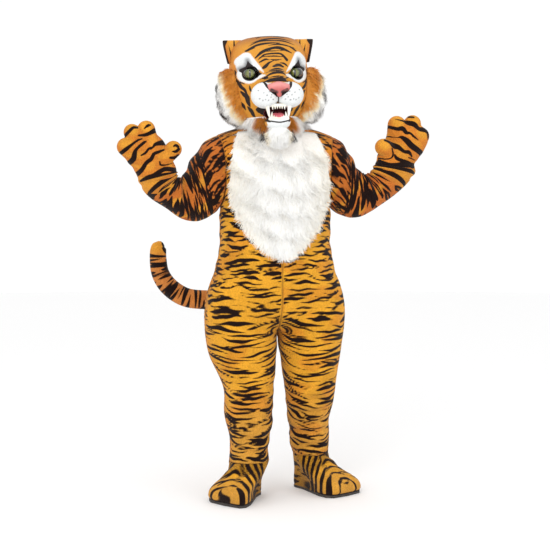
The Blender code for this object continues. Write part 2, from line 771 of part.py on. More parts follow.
def foot_outline(count, foot, side):
    """Outline on the floor, starting at the inner side of the ankle and turning through the toes."""
    place_x, place_y, direction, inner_toe, outer_toe = foot
    angle = math.radians(direction)
    ahead = Vector((side * math.sin(angle), -math.cos(angle), 0))
    across = Vector((side * math.cos(angle), math.sin(angle), 0))
    points = []
    for index in range(count):
        turn = index / count * 2 * math.pi
        forward, sideways = math.sin(turn), -math.cos(turn)
        squared_forward = math.copysign(abs(forward) ** FOOT_SQUARENESS, forward)
        squared_sideways = math.copysign(abs(sideways) ** FOOT_SQUARENESS, sideways)
        toe = inner_toe + (outer_toe - inner_toe) * (1 + squared_sideways) / 2
        reach = toe if forward > 0 else FOOT_HEEL
        width = FOOT_HALF_WIDTH_HEEL + (FOOT_HALF_WIDTH_TOE - FOOT_HALF_WIDTH_HEEL) * max(0.0, forward) ** 0.5
        points.append(
            Vector((place_x, place_y, 0)) + ahead * reach * squared_forward + across * width * squared_sideways
        )
    return points


def build_foot(side, suit, foot):
    """Hollow cover from the sole up into the leg's hem, and the flat sole under it."""
    name = SIDE_NAMES[side]
    front_inner = suit[side, False][2]
    back_inner = suit[side, True][2]
    hem = []
    for row in (0, 1):
        ring = front_inner[row] + list(reversed(back_inner[row]))[1:-1]
        centre = sum(ring, Vector()) / len(ring)
        hem.append([point + (centre - point).normalized() * SEAT_GAP for point in ring])
    hem[1] = [low.lerp(high, ANKLE_TUCK / (hem[1][0].z - hem[0][0].z)) for low, high in zip(hem[0], hem[1])]
    count = len(hem[0])
    outline = foot_outline(count, foot, side)
    rings = []
    for blend, height in FOOT_PROFILE:
        ring = []
        for low, high in zip(outline, hem[0]):
            flat = Vector((high.x, high.y, 0))
            point = low.lerp(flat, blend)
            point.z = height
            ring.append(point)
        rings.append(ring)
    rings += hem
    facing = rings if side > 0 else [list(reversed(ring)) for ring in rings]
    normals = shared_normals([(facing, True)])
    inner = [[point - normals[point_key(point)] * GLOVE_WALL for point in ring] for ring in rings]
    for point in inner[0]:
        point.z = rings[0][0].z
    new_object("foot_" + name, wall_mesh("foot_" + name, rings, inner, wrap=True), "plush", STAND)
    low_ring = [point.copy() for point in outline]
    high_ring = [Vector((point.x, point.y, SOLE_THICKNESS)) for point in outline]
    centre = sum(outline, Vector()) / count
    top = Vector((centre.x, centre.y, SOLE_THICKNESS))
    new_object("sole_" + name, solid_mesh("sole_" + name, [low_ring, high_ring], centre, top), "sole", STAND)


# Tail

def build_tail():
    curve = bpy.data.curves.new("tail_route", "CURVE")
    curve.dimensions = "3D"
    curve.bevel_depth = 1.0
    curve.bevel_resolution = 3
    curve.use_fill_caps = True
    spline = curve.splines.new("POLY")
    spline.points.add(len(TAIL_ROUTE) - 1)
    for point, (x, y, height, radius) in zip(spline.points, TAIL_ROUTE):
        point.co = (x, y, height, 1)
        point.radius = radius
    route = bpy.data.objects.new("tail_route", curve)
    bpy.context.scene.collection.objects.link(route)
    graph = bpy.context.evaluated_depsgraph_get()
    mesh = bpy.data.meshes.new_from_object(route.evaluated_get(graph))
    bpy.data.objects.remove(route, do_unlink=True)
    shape = bmesh.new()
    shape.from_mesh(mesh)
    bmesh.ops.remove_doubles(shape, verts=shape.verts, dist=1e-6)
    shape.to_mesh(mesh)
    shape.free()
    mesh.materials.clear()
    new_object("tail", mesh, "plush", STAND)


# Head

def head_point(height, share):
    """Point on the head's outside: share 0 at the centre of the face, turning to the wearer's left."""
    half_width, front, back = read_table(HEAD, height)
    turn = share * 2 * math.pi
    depth = front if math.cos(turn) > 0 else back
    return Vector((half_width * math.sin(turn), -depth * math.cos(turn), height))


def head_rings(grow=0.0):
    count = 2 * HEAD_COLUMNS
    rings = [[head_point(row[0], index / count) for index in range(count)] for row in HEAD]
    return grown_rings(rings, grow) if grow else rings


def build_head_shell():
    """Face half and back half of the head's hollow shell, open at the neck."""
    rings = head_rings()
    tip = [Vector((0, 0, HEAD_TOP)).lerp(Vector((point.x, point.y, HEAD_TOP)), HEAD_TIP_SHARE) for point in rings[-1]]
    rings.append(tip)
    normals = shared_normals([(rings, True)])
    count = 2 * HEAD_COLUMNS
    quarter = HEAD_COLUMNS // 2
    for name, first in (("head_face", -quarter), ("head_back", quarter)):
        grid = [[ring[(first + step) % count] for step in range(HEAD_COLUMNS + 1)] for ring in rings]
        outer = pulled_back(grid, wrap=False)
        inner = []
        for line, outer_line in zip(grid, outer):
            inner.append([out - normals[point_key(point)] * HEAD_WALL for point, out in zip(line, outer_line)])
        new_object(name, wall_mesh(name, outer, inner, wrap=False), "plush", HEAD_FRAME)
    form = head_rings(SEAT_GAP)
    foot = Vector((0, 0, form[0][0].z - SEAT_GAP))
    top = Vector((0, 0, HEAD_TOP + SEAT_GAP))
    return new_cutter("head_form", solid_mesh("head_form", form, foot, top), HEAD_FRAME)


def ellipsoid_mesh(name, place, grow=0.0, mirror=1, segments=16, rings=10, fullness=1.0):
    """Ellipsoid, or with fullness under 1 a boxier form of the same size."""
    x, y, height, across, along, upright = place
    shape = bmesh.new()
    bmesh.ops.create_uvsphere(shape, u_segments=segments, v_segments=rings, radius=1.0)
    for vertex in shape.verts:
        vertex.co = [math.copysign(abs(value) ** fullness, value) for value in vertex.co]
    size = Matrix.Diagonal((across + grow, along + grow, upright + grow, 1))
    bmesh.ops.transform(shape, matrix=Matrix.Translation((x * mirror, y, height)) @ size, verts=shape.verts)
    mesh = bpy.data.meshes.new(name)
    shape.to_mesh(mesh)
    shape.free()
    return mesh


def face_form(name, place, mirror=1, segments=16, rings=10, fullness=1.0):
    """A face piece's outside, a seat gap larger, that cuts what rests on it."""
    mesh = ellipsoid_mesh(name, place, SEAT_GAP, mirror, segments, rings, fullness)
    return new_cutter(name, mesh, HEAD_FRAME)


def seated(thing, forms):
    for form in forms:
        boolean(thing, form, "DIFFERENCE")
    return thing


def fang_mesh(name, side, fang, down):
    x, y, root, length, radius = fang
    shape = bmesh.new()
    bmesh.ops.create_cone(
        shape, cap_ends=True, segments=8, radius1=radius, radius2=radius * 0.15, depth=length
    )
    turn = Matrix.Rotation(math.pi, 4, "X") if down else Matrix.Identity(4)
    middle = root - length / 2 if down else root + length / 2
    bmesh.ops.transform(shape, matrix=Matrix.Translation((side * x, y, middle)) @ turn, verts=shape.verts)
    mesh = bpy.data.meshes.new(name)
    shape.to_mesh(mesh)
    shape.free()
    return mesh


def build_teeth(name, strip, fang, down, forms):
    thing = new_object(name, ellipsoid_mesh(name, strip, segments=12, rings=6), "teeth", HEAD_FRAME)
    for side in (-1, 1):
        label = name + "_fang_" + SIDE_NAMES[side]
        boolean(thing, new_cutter(label, fang_mesh(label, side, fang, down), HEAD_FRAME), "UNION")
    return seated(thing, forms)


def ear_mesh(name, side):
    """Cupped ear that opens forward: a wall between its back and its front."""
    up = Vector((side * math.sin(EAR_LEAN), 0, math.cos(EAR_LEAN)))
    base = Vector((side * EAR_BASE[0], EAR_BASE[1], EAR_BASE[2]))
    back, front = [], []
    for row in range(EAR_ROWS + 1):
        climb = row / EAR_ROWS
        half_width = EAR_HALF_WIDTH * (1 + EAR_SPREAD * climb - EAR_ROUNDING * climb**6)
        back_line, front_line = [], []
        for column in range(EAR_COLUMNS + 1):
            reach = 2 * column / EAR_COLUMNS - 1
            cup = EAR_CUP * (reach**2 + 0.35 * climb**2)
            point = base + up * climb * EAR_HEIGHT + Vector((reach * half_width, -cup, 0))
            rim = 1 - 0.35 * reach**2
            back_line.append(point + Vector((0, EAR_WALL * rim, 0)))
            front_line.append(point)
        back.append(back_line)
        front.append(front_line)
    return wall_mesh(name, back, front, wrap=False)


def build_head(skirt_form):
    head_form = build_head_shell()
    puff_forms = [face_form("puff_form_" + SIDE_NAMES[side], PUFF, side) for side in (-1, 1)]
    bridge_form = face_form("bridge_form", BRIDGE)
    jaw_form = face_form("jaw_form", JAW)
    nose_form = face_form("nose_form", NOSE)
    tongue_form = face_form("tongue_form", TONGUE, 1, 12, 8)
    muzzle = new_object("muzzle", ellipsoid_mesh("muzzle", PUFF, mirror=-1), "white_fur", HEAD_FRAME)
    for label, place in (("puff_left", PUFF), ("bridge", BRIDGE)):
        boolean(muzzle, new_cutter(label, ellipsoid_mesh(label, place), HEAD_FRAME), "UNION")
    seated(muzzle, [head_form])
    nose = new_object("nose", ellipsoid_mesh("nose", NOSE), "nose", HEAD_FRAME)
    seated(nose, puff_forms + [bridge_form, head_form])
    jaw = new_object("jaw", ellipsoid_mesh("jaw", JAW), "white_fur", HEAD_FRAME)
    seated(jaw, [head_form])
    chin = new_object("chin_fur", ellipsoid_mesh("chin_fur", CHIN_FUR), "white_fur", HEAD_FRAME)
    seated(chin, [jaw_form])
    tongue = new_object("tongue", ellipsoid_mesh("tongue", TONGUE, segments=12, rings=8), "tongue", HEAD_FRAME)
    seated(tongue, [jaw_form, head_form])
    lining = new_object("mouth_lining", ellipsoid_mesh("mouth_lining", MOUTH), "mouth", HEAD_FRAME)
    seated(lining, [head_form, jaw_form, tongue_form] + puff_forms + [bridge_form])
    mouth_form = face_form("mouth_form", MOUTH)
    build_teeth("teeth_upper", TOOTH_STRIP_UPPER, FANG_UPPER, True, puff_forms + [mouth_form])
    build_teeth("teeth_lower", TOOTH_STRIP_LOWER, FANG_LOWER, False, [jaw_form, tongue_form, mouth_form])
    for side in (-1, 1):
        name = SIDE_NAMES[side]
        ruff_form = face_form("ruff_form_" + name, RUFF, side, 20, 12, RUFF_FULLNESS)
        puffs = puff_forms + [bridge_form]
        ruff_mesh = ellipsoid_mesh("ruff_" + name, RUFF, 0, side, 20, 12, RUFF_FULLNESS)
        ruff = new_object("ruff_" + name, ruff_mesh, "ruff_fur", HEAD_FRAME)
        seated(ruff, [head_form, skirt_form] + puffs)
        eye = new_object("eye_" + name, ellipsoid_mesh("eye", EYE, 0, side, 12, 8), "eye", HEAD_FRAME)
        seated(eye, [head_form, ruff_form, bridge_form])
        ear = new_object("ear_" + name, ear_mesh("ear_" + name, side), "plush", HEAD_FRAME)
        seated(ear, [head_form, ruff_form])


def build_neck_skirt():
    """Cloth that hangs from the head's rim and lies over the suit's shoulders."""
    turn = Matrix.Rotation(HEAD_ROLL, 4, "Y")
    placed = Matrix.Translation(HEAD_PLACE) @ turn @ Matrix.Translation((0, 0, -HEAD_PLACE[2]))
    split = NECK_COLUMNS / COLUMNS
    rings = [[], [], []]
    for index in range(SKIRT_COLUMNS):
        around = index / SKIRT_COLUMNS
        rim = head_point(HEAD[0][0], around)
        rim.z -= SEAT_GAP
        side = 1 if around < 0.5 else -1
        back = 0.25 < around < 0.75
        spread = 1 - abs(math.cos(around * 2 * math.pi))
        spread = math.acos(1 - spread) / (math.pi / 2)
        climb = SKIRT_BACK_CLIMB if back else SKIRT_FRONT_CLIMB
        low = yoke_point(side, spread * (split + SKIRT_SPREAD), climb + (1 - climb) * spread, back)
        away = Vector((low.x, low.y, 0)).normalized() + Vector((0, 0, 0.25 + spread * 1.2))
        low += away.normalized() * (FACET_CLEARANCE + CLOTH)
        high = placed @ rim
        rings[0].append(low)
        rings[1].append(low.lerp(high, 0.5))
        rings[2].append(high)
    normals = shared_normals([(rings, True)])
    inner = [[point - normals[point_key(point)] * CLOTH for point in ring] for ring in rings]
    for line, inner_line in zip(rings, inner):
        if line is rings[2]:
            for outer_point, inner_point in zip(line, inner_line):
                inner_point.z = outer_point.z
    new_object("neck_skirt", wall_mesh("neck_skirt", rings, inner, wrap=True), "ruff_fur", STAND)
    form = [[point + normals[point_key(point)] * SKIRT_CLEARANCE for point in ring] for ring in rings]
    for point in form[-1]:
        point.z += SKIRT_CLEARANCE
    centres = [sum(ring, Vector()) / SKIRT_COLUMNS for ring in (form[0], form[-1])]
    return new_cutter("skirt_form", solid_mesh("skirt_form", form, *centres), STAND)


clear_scene()
PARTS = new_collection("tiger_mascot_costume")
CUTTERS = new_collection("cutters")
STAND = new_empty("stand", PARTS, (0, 0, -HOLD_HEIGHT))
HEAD_FRAME = new_empty("head_frame", PARTS, HEAD_PLACE, STAND)
HEAD_FRAME.rotation_euler = (0, HEAD_ROLL, 0)
SIDE_NAMES = {-1: "right", 1: "left"}

SUIT, SUIT_NORMALS = build_suit()
build_bib(SUIT, SUIT_NORMALS)
build_zip(SUIT)
build_glove(-1, SUIT, PALM_RIGHT, FINGERS_RIGHT, THUMB_RIGHT, FINGER_Y_RIGHT)
build_glove(1, SUIT, PALM_LEFT, FINGERS_LEFT, THUMB_LEFT, FINGER_Y_LEFT)
build_foot(-1, SUIT, FOOT_RIGHT)
build_foot(1, SUIT, FOOT_LEFT)
build_tail()
build_head(build_neck_skirt())
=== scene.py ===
"""Looks of the tiger mascot costume: striped plush, long fur, a modelled face, studio floor and light.

Heights are given above the floor and lowered to the frame's origin when a piece is made. The floor, the lights
and the camera are placed in the frame itself. Tables inside metres() are in whole millimetres or in tenths of one.
Right and left are the wearer's, so right is -X.
"""
import json
import math

import bpy
import numpy as np
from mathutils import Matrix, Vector

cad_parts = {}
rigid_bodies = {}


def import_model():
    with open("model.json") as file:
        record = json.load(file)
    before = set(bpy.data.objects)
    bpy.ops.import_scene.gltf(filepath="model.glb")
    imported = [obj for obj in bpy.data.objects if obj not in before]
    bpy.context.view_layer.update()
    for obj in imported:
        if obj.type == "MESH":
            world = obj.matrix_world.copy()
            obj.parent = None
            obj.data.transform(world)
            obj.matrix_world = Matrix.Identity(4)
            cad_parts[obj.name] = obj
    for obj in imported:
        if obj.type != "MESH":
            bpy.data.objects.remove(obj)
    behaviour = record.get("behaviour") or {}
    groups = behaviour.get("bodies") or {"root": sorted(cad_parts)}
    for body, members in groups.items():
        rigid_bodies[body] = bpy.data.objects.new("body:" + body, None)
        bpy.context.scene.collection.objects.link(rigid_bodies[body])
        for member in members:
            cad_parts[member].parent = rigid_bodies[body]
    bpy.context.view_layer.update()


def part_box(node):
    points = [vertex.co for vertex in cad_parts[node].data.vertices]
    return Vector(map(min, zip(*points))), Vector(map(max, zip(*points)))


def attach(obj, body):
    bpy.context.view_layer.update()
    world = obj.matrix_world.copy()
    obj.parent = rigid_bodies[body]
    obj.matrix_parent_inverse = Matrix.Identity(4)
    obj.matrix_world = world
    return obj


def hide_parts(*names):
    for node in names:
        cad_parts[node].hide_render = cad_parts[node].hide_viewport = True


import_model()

HOLD_HEIGHT = 1.50
SIDES = (-1, 1)
SIDE_NAMES = {-1: "right", 1: "left"}
CLOTH = 0.003
HEM_HEIGHT = 0.150
UNMARKED = -0.03
TENTHS = 10000


def metres(table, parts=1000):
    """The same nested table in metres, from whole millimetres or, with TENTHS, from tenths of one."""
    if isinstance(table, dict):
        return {key: metres(rows, parts) for key, rows in table.items()}
    if isinstance(table, tuple):
        return tuple(metres(rows, parts) for rows in table)
    return table / parts



# Suit body: height, half width, depth in front, depth behind, roundness
TORSO = (
    (0.672, 0.291, 0.140, 0.165, 0.40),
    (0.760, 0.292, 0.165, 0.195, 0.58),
    (0.850, 0.276, 0.178, 0.203, 0.80),
    (0.920, 0.251, 0.178, 0.186, 0.90),
    (1.000, 0.233, 0.174, 0.162, 0.90),
    (1.090, 0.229, 0.172, 0.150, 0.90),
    (1.188, 0.230, 0.168, 0.150, 0.90),
)
CHEST_LINE = ((1.188, 0.168), (1.290, 0.162), (1.390, 0.134), (1.468, 0.092))
SPINE_LINE = ((1.188, 0.150), (1.290, 0.158), (1.400, 0.140), (1.500, 0.085))
CROTCH = (0.010, 0.010, 0.672)
RISE_HEIGHT = 0.128
ARMPIT_HEIGHT = 1.188
ARMHOLE_BOTTOM = (0.230, 1.188)
ARMHOLE_TOP = (0.246, 1.476)
ARMHOLE_DEPTH = 0.100
ARMHOLE_SCOOP = 0.020
NECK_POINT = (0.088, 0.005, 1.520)
NECK_FRONT = (0.092, 1.468)
NECK_BACK = (0.085, 1.500)
NECK_SHARE = 3 / 8

# Legs: height, inner x, outer x, centre y, half depth
LEGS = metres({
    -1: (
        (150, -38, -202, -70, 84), (195, -42, -198, -66, 84), (250, -33, -197, -58, 90),
        (300, -22, -212, -48, 100), (350, -18, -220, -36, 104), (400, -14, -213, -26, 106),
        (440, -11, -216, -19, 112), (500, -3, -240, -8, 122), (570, 4, -274, 4, 138), (630, 8, -286, 10, 148),
        (672, 10, -291, 12, 153),
    ),
    1: (
        (150, 87, 236, 52, 82), (195, 73, 237, 50, 84), (250, 71, 239, 46, 88), (300, 62, 232, 38, 92),
        (350, 55, 247, 28, 99), (400, 50, 254, 20, 104), (440, 43, 258, 15, 110), (500, 34, 264, 8, 120),
        (570, 24, 275, 6, 134), (630, 15, 284, 10, 146), (672, 10, 291, 12, 153),
    ),
})

# Sleeves: inner x, inner height, outer x, outer height, y, half depth
SLEEVES = metres({
    -1: (
        (-290, 1450, -243, 1166, 2, 101), (-326, 1408, -262, 1152, 2, 98), (-362, 1350, -293, 1134, 1, 92),
        (-383, 1308, -333, 1125, -4, 85), (-392, 1299, -390, 1136, -22, 79), (-401, 1299, -456, 1179, -47, 73),
        (-408, 1304, -514, 1214, -73, 70), (-413, 1310, -551, 1250, -97, 69), (-418, 1322, -570, 1297, -116, 68),
    ),
    1: (
        (276, 1455, 256, 1163, -1, 100), (306, 1414, 289, 1148, -6, 94), (330, 1366, 324, 1140, -13, 87),
        (350, 1334, 367, 1150, -26, 81), (363, 1320, 422, 1186, -58, 75), (372, 1322, 484, 1235, -94, 71),
        (380, 1334, 531, 1285, -126, 69), (387, 1354, 556, 1332, -144, 68),
    ),
})
# Palms: inner x, inner height, outer x, outer height, y, half depth
PALMS = metres({
    -1: (
        (-424, 1342, -586, 1328, -122, 62), (-434, 1376, -614, 1364, -126, 57),
        (-452, 1409, -628, 1395, -128, 54), (-470, 1436, -622, 1418, -128, 50),
        (-497, 1453, -598, 1438, -128, 35),
    ),
    1: (
        (396, 1388, 564, 1384, -146, 62), (410, 1417, 588, 1413, -150, 57), (426, 1452, 604, 1446, -153, 54),
        (440, 1482, 602, 1474, -154, 50), (464, 1499, 584, 1492, -154, 35),
    ),
})
# Fingers and thumb: root x, root height, tip x, tip height, radius
FINGERS = metres({
    -1: ((-520, 1415, -538, 1486, 35), (-556, 1405, -594, 1474, 33), (-585, 1385, -618, 1417, 36)),
    1: ((468, 1450, 474, 1516, 37), (524, 1455, 540, 1522, 35), (560, 1440, 573, 1472, 37)),
})
THUMBS = metres({
    -1: (-470, 1372, -434, 1408, 33),
    1: (440, 1412, 410, 1424, 34),
})
FINGER_Y = {-1: -0.132, 1: -0.158}
THUMB_FORWARD = 0.030

# Feet: x, y, direction in degrees, reach of the inner toes, of the outer toes
FEET = {-1: (-0.139, -0.060, 33.0, 0.236, 0.151), 1: (0.170, 0.051, 31.0, 0.220, 0.214)}
FOOT_HEEL = 0.078
FOOT_TOP = 0.178
ANKLE_INSET = 0.964
FOOT_HALF_WIDTH_HEEL = 0.056
FOOT_HALF_WIDTH_TOE = 0.124
FOOT_SQUARENESS = 0.50
FOOT_PROFILE = (
    (0.0104, 0.00), (0.028, -0.02), (0.050, 0.04), (0.070, 0.22), (0.092, 0.52), (0.126, 0.85), (0.150, 1.0),
)

# Tail: x, y, height, radius
TAIL_ROUTE = metres((
    (0, 2023, 8320, 400), (0, 2260, 8320, 410), (-140, 2520, 8250, 410), (-500, 2700, 8120, 410),
    (-1100, 2740, 7980, 410), (-1800, 2700, 7890, 410), (-2560, 2640, 7880, 410), (-3280, 2680, 7950, 410),
    (-3790, 2740, 8170, 410), (-4250, 2790, 8570, 400), (-4530, 2830, 9080, 380), (-4610, 2850, 9690, 360),
    (-4590, 2850, 10120, 330), (-4530, 2850, 10310, 200),
), TENTHS)

HEAD_PLACE = (-0.018, 0.0, 1.500)
HEAD_ROLL = math.radians(-2.5)


# Numbers and surfaces

def read_table(table, keys):
    """Smooth values of a table's other columns at each key, as an array with one more axis."""
    rows = np.array(sorted(table), float)
    knots = rows[:, 0]
    place = np.clip(np.asarray(keys, float), knots[0], knots[-1])
    index = np.clip(np.searchsorted(knots, place) - 1, 0, len(knots) - 2)
    before = np.maximum(index - 1, 0)
    after = np.minimum(index + 2, len(knots) - 1)
    span = (knots[index + 1] - knots[index])[..., None]
    t = (place - knots[index])[..., None] / span
    here, there = rows[index, 1:], rows[index + 1, 1:]
    slope_here = (there - rows[before, 1:]) / (knots[index + 1] - knots[before])[..., None] * span
    slope_there = (rows[after, 1:] - here) / (knots[after] - knots[index])[..., None] * span
    return (
        (2 * t**3 - 3 * t**2 + 1) * here
        + (t**3 - 2 * t**2 + t) * slope_here
        + (3 * t**2 - 2 * t**3) * there
        + (t**3 - t**2) * slope_there
    )


def smooth_rows(rows, steps):
    """Rows along a smooth curve through the given ones, with so many steps from each to the next."""
    rows = np.asarray(rows, float)
    table = np.column_stack((np.arange(len(rows)), rows.reshape(len(rows), -1)))
    made = read_table(table.tolist(), np.linspace(0, len(rows) - 1, (len(rows) - 1) * steps + 1))
    return made.reshape(-1, *rows.shape[1:])


def points(x, y, z):
    return np.stack(np.broadcast_arrays(x, y, z), axis=-1).astype(float)


def ramp(value, low, high):
    t = np.clip((value - low) / (high - low), 0, 1)
    return t * t * (3 - 2 * t)


def unit(vectors):
    return vectors / np.maximum(np.linalg.norm(vectors, axis=-1, keepdims=True), 1e-9)


def swirl(place, seed, wavelength):
    """Smooth uneven directions, so neighbouring blades lean together in locks."""
    random = np.random.default_rng(seed)
    total = np.zeros_like(place)
    for _ in range(5):
        wave = unit(random.normal(size=3)) * 2 * math.pi / (wavelength * random.uniform(0.6, 1.6))
        lean = random.normal(size=3)
        total += np.sin(place @ wave + random.uniform(0, 6.3))[:, None] * lean
    return total / 2.4


def torso_surface(side, height, share, back):
    values = read_table(TORSO, height)
    turn = share * math.pi / 2
    depth = values[..., 2] if back else -values[..., 1]
    across = side * values[..., 0] * np.sin(turn) ** 0.94
    return points(across, depth * np.maximum(0, np.cos(turn)) ** values[..., 3], height)


def leg_surface(side, height, share, back):
    values = read_table(LEGS[side], height)
    turn = (share - 0.5) * math.pi
    centre = (values[..., 0] + values[..., 1]) / 2
    half = np.abs(values[..., 1] - values[..., 0]) / 2
    depth = values[..., 3] if back else -values[..., 3]
    return points(centre + side * half * np.sin(turn), values[..., 2] + depth * np.cos(turn), height)


def rise_surface(side, climb, share, back):
    fall = np.cos(climb * math.pi / 2)
    height = CROTCH[2] + RISE_HEIGHT * (1 - fall)
    outward = np.minimum(1, 2 * share)
    blend = 1 - np.sqrt(np.maximum(0, 1 - fall * fall))
    blend = blend + (fall - blend) * ramp(outward, 0, 1)
    body = torso_surface(side, height, share, back)
    leg = leg_surface(side, CROTCH[2], share, back)
    leg[..., 2] = height
    made = body + (leg - body) * blend[..., None]
    made[:, 0, 0] = CROTCH[0] * blend[:, 0]
    made[0, 0, 1] = CROTCH[1]
    return made


def armhole_line(side, climb, back):
    turn = climb * math.pi
    width = ARMHOLE_BOTTOM[0] + (ARMHOLE_TOP[0] - ARMHOLE_BOTTOM[0]) * climb - ARMHOLE_SCOOP * np.sin(turn)
    height = ARMHOLE_BOTTOM[1] + (ARMHOLE_TOP[1] - ARMHOLE_BOTTOM[1]) * (1 - np.cos(turn)) / 2
    depth = ARMHOLE_DEPTH * np.sin(turn)
    return points(side * width, np.where(back, depth, -depth), height)


def top_edge(side, share, back):
    neck_x, neck_y, neck_height = NECK_POINT
    depth, height = NECK_BACK if back else NECK_FRONT
    turn = np.minimum(share / NECK_SHARE, 1) * math.pi / 2
    neck = points(
        side * neck_x * np.sin(turn),
        neck_y + ((depth if back else -depth) - neck_y) * np.cos(turn),
        neck_height + (height - neck_height) * np.cos(turn),
    )
    along = np.clip((share - NECK_SHARE) / (1 - NECK_SHARE), 0, 1)[..., None]
    start = np.array((side * neck_x, neck_y, neck_height))
    end = np.array((side * ARMHOLE_TOP[0], 0, ARMHOLE_TOP[1]))
    shoulder = start + (end - start) * along
    shoulder[..., 2] += 0.006 * np.sin(along[..., 0] * math.pi)
    return np.where((share <= NECK_SHARE)[..., None], neck, shoulder)


def yoke_surface(side, climb, share, back):
    line = SPINE_LINE if back else CHEST_LINE
    height = line[0][0] + (line[-1][0] - line[0][0]) * climb
    depth = read_table(line, height)[..., 0]
    inner = points(0 * depth, depth if back else -depth, height)
    outer = armhole_line(side, climb, back)
    low = torso_surface(side, np.full_like(climb, ARMPIT_HEIGHT), share, back)
    high = top_edge(side, share, back)
    corner = [torso_surface(side, np.array(ARMPIT_HEIGHT), np.array(float(end)), back) for end in (0, 1)]
    top = [top_edge(side, np.array(float(end)), back) for end in (0, 1)]
    s, c = share[..., None], climb[..., None]
    return (
        low * (1 - c) + high * c + inner * (1 - s) + outer * s
        - corner[0] * (1 - s) * (1 - c) - corner[1] * s * (1 - c) - top[0] * (1 - s) * c - top[1] * s * c
    )


def grid_normals(grid, wrap):
    """Unit normals of a grid of points by central differences."""
    along = np.gradient(grid, axis=0)
    if wrap:
        across = (np.roll(grid, -1, axis=1) - np.roll(grid, 1, axis=1)) / 2
    else:
        across = np.gradient(grid, axis=1)
    return unit(np.cross(across, along))


def outward_normals(grid, wrap, row, column=0):
    """Unit normals, turned so that the one at this place points away from the middle of its row."""
    normals = grid_normals(grid, wrap)
    away = grid[row, column] - grid[row].mean(axis=0)
    return -normals if np.dot(normals[row, column], away) < 0 else normals


def lengths(grid, axis):
    """Distance along the grid from its first row or column."""
    steps = np.linalg.norm(np.diff(grid, axis=axis), axis=-1)
    total = np.cumsum(steps, axis=axis)
    return np.concatenate([np.zeros_like(np.take(total, [0], axis=axis)), total], axis=axis)


# Making pieces

def new_mesh(name, vertices, faces, attributes, material, smooth=True):
    """Mesh object from arrays; faces are rows of three or four indices, or a list of such arrays."""
    groups = faces if isinstance(faces, list) else [faces]
    groups = [group for group in groups if len(group)]
    mesh = bpy.data.meshes.new(name)
    placed = np.array(vertices, np.float32)
    placed[:, 2] -= HOLD_HEIGHT
    corners = np.concatenate([group.reshape(-1) for group in groups]).astype(np.int32)
    sizes = np.concatenate([np.full(len(group), group.shape[1]) for group in groups]).astype(np.int32)
    mesh.vertices.add(len(placed))
    mesh.vertices.foreach_set("co", placed.ravel())
    mesh.loops.add(len(corners))
    mesh.loops.foreach_set("vertex_index", corners)
    mesh.polygons.add(len(sizes))
    mesh.polygons.foreach_set("loop_start", (np.cumsum(sizes) - sizes).astype(np.int32))
    mesh.polygons.foreach_set("use_smooth", np.full(len(sizes), smooth))
    for key, values in attributes.items():
        values = np.asarray(values, np.float32)
        if values.ndim == 2:
            layer = mesh.attributes.new(key, "FLOAT_COLOR", "POINT")
            colours = np.ones((len(values), 4), np.float32)
            colours[:, :3] = values
            layer.data.foreach_set("color", colours.ravel())
        else:
            layer = mesh.attributes.new(key, "FLOAT", "POINT")
            layer.data.foreach_set("value", values.ravel())
    mesh.update(calc_edges=True)
    mesh.validate()
    mesh.materials.append(material)
    thing = bpy.data.objects.new(name, mesh)
    bpy.context.scene.collection.objects.link(thing)
    return thing


def grid_faces(rows, columns, wrap, first=0):
    row, column = np.meshgrid(np.arange(rows - 1), np.arange(columns if wrap else columns - 1), indexing="ij")
    beside = (column + 1) % columns
    quads = np.stack(
        (row * columns + column, row * columns + beside, (row + 1) * columns + beside, (row + 1) * columns + column),
        axis=-1,
    )
    return quads.reshape(-1, 4) + first


def facing_out(vertices, faces):
    """Turns all the faces round where the closed surface is inside out."""
    corners = vertices[faces]
    volume = np.einsum("ij,ij->i", corners[:, 0], np.cross(corners[:, 1], corners[:, 2])).sum()
    volume += np.einsum("ij,ij->i", corners[:, 0], np.cross(corners[:, 2], corners[:, 3])).sum()
    return faces if volume > 0 else faces[:, ::-1]


def wall_faces(rows, columns, wrap):
    """Faces of a thin closed wall: an outer grid, an inner grid after it, and what joins their open edges."""
    offset = rows * columns
    faces = [grid_faces(rows, columns, wrap), grid_faces(rows, columns, wrap, offset)[:, ::-1]]
    index = np.arange(offset).reshape(rows, columns)
    if wrap:
        rims = [np.append(index[0], index[0, 0]), np.append(index[-1], index[-1, 0])[::-1]]
    else:
        rims = [np.concatenate([index[0], index[1:, -1], index[-1, -2::-1], index[-2::-1, 0]])]
    faces += [np.stack((rim[1:], rim[:-1], rim[:-1] + offset, rim[1:] + offset), axis=-1) for rim in rims]
    return np.concatenate(faces)


def shell_object(name, outer, normals, thickness, wrap, attributes, material):
    rows, columns = outer.shape[:2]
    inner = outer - normals * thickness
    vertices = np.concatenate([outer.reshape(-1, 3), inner.reshape(-1, 3)])
    doubled = {}
    for key, values in attributes.items():
        flat = np.asarray(values).reshape(rows * columns, -1)
        flat = flat[:, 0] if flat.shape[1] == 1 else flat
        doubled[key] = np.concatenate([flat, flat])
    return new_mesh(name, vertices, facing_out(vertices, wall_faces(rows, columns, wrap)), doubled, material)


def dress(thing, slot, *nodes):
    """A finished piece: it rides on the one body, and stands for its nodes."""
    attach(thing, "root")
    if nodes:
        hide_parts(*nodes)
    return thing


# Marks: signed distance in metres to drawn strokes, above 0 inside

def beside_stretch(a, b, start, end):
    """Share along a straight stretch, and distance from it."""
    da, db = end[0] - start[0], end[1] - start[1]
    t = np.clip(((a - start[0]) * da + (b - start[1]) * db) / max(da * da + db * db, 1e-12), 0, 1)
    return t, np.hypot(a - start[0] - t * da, b - start[1] - t * db)


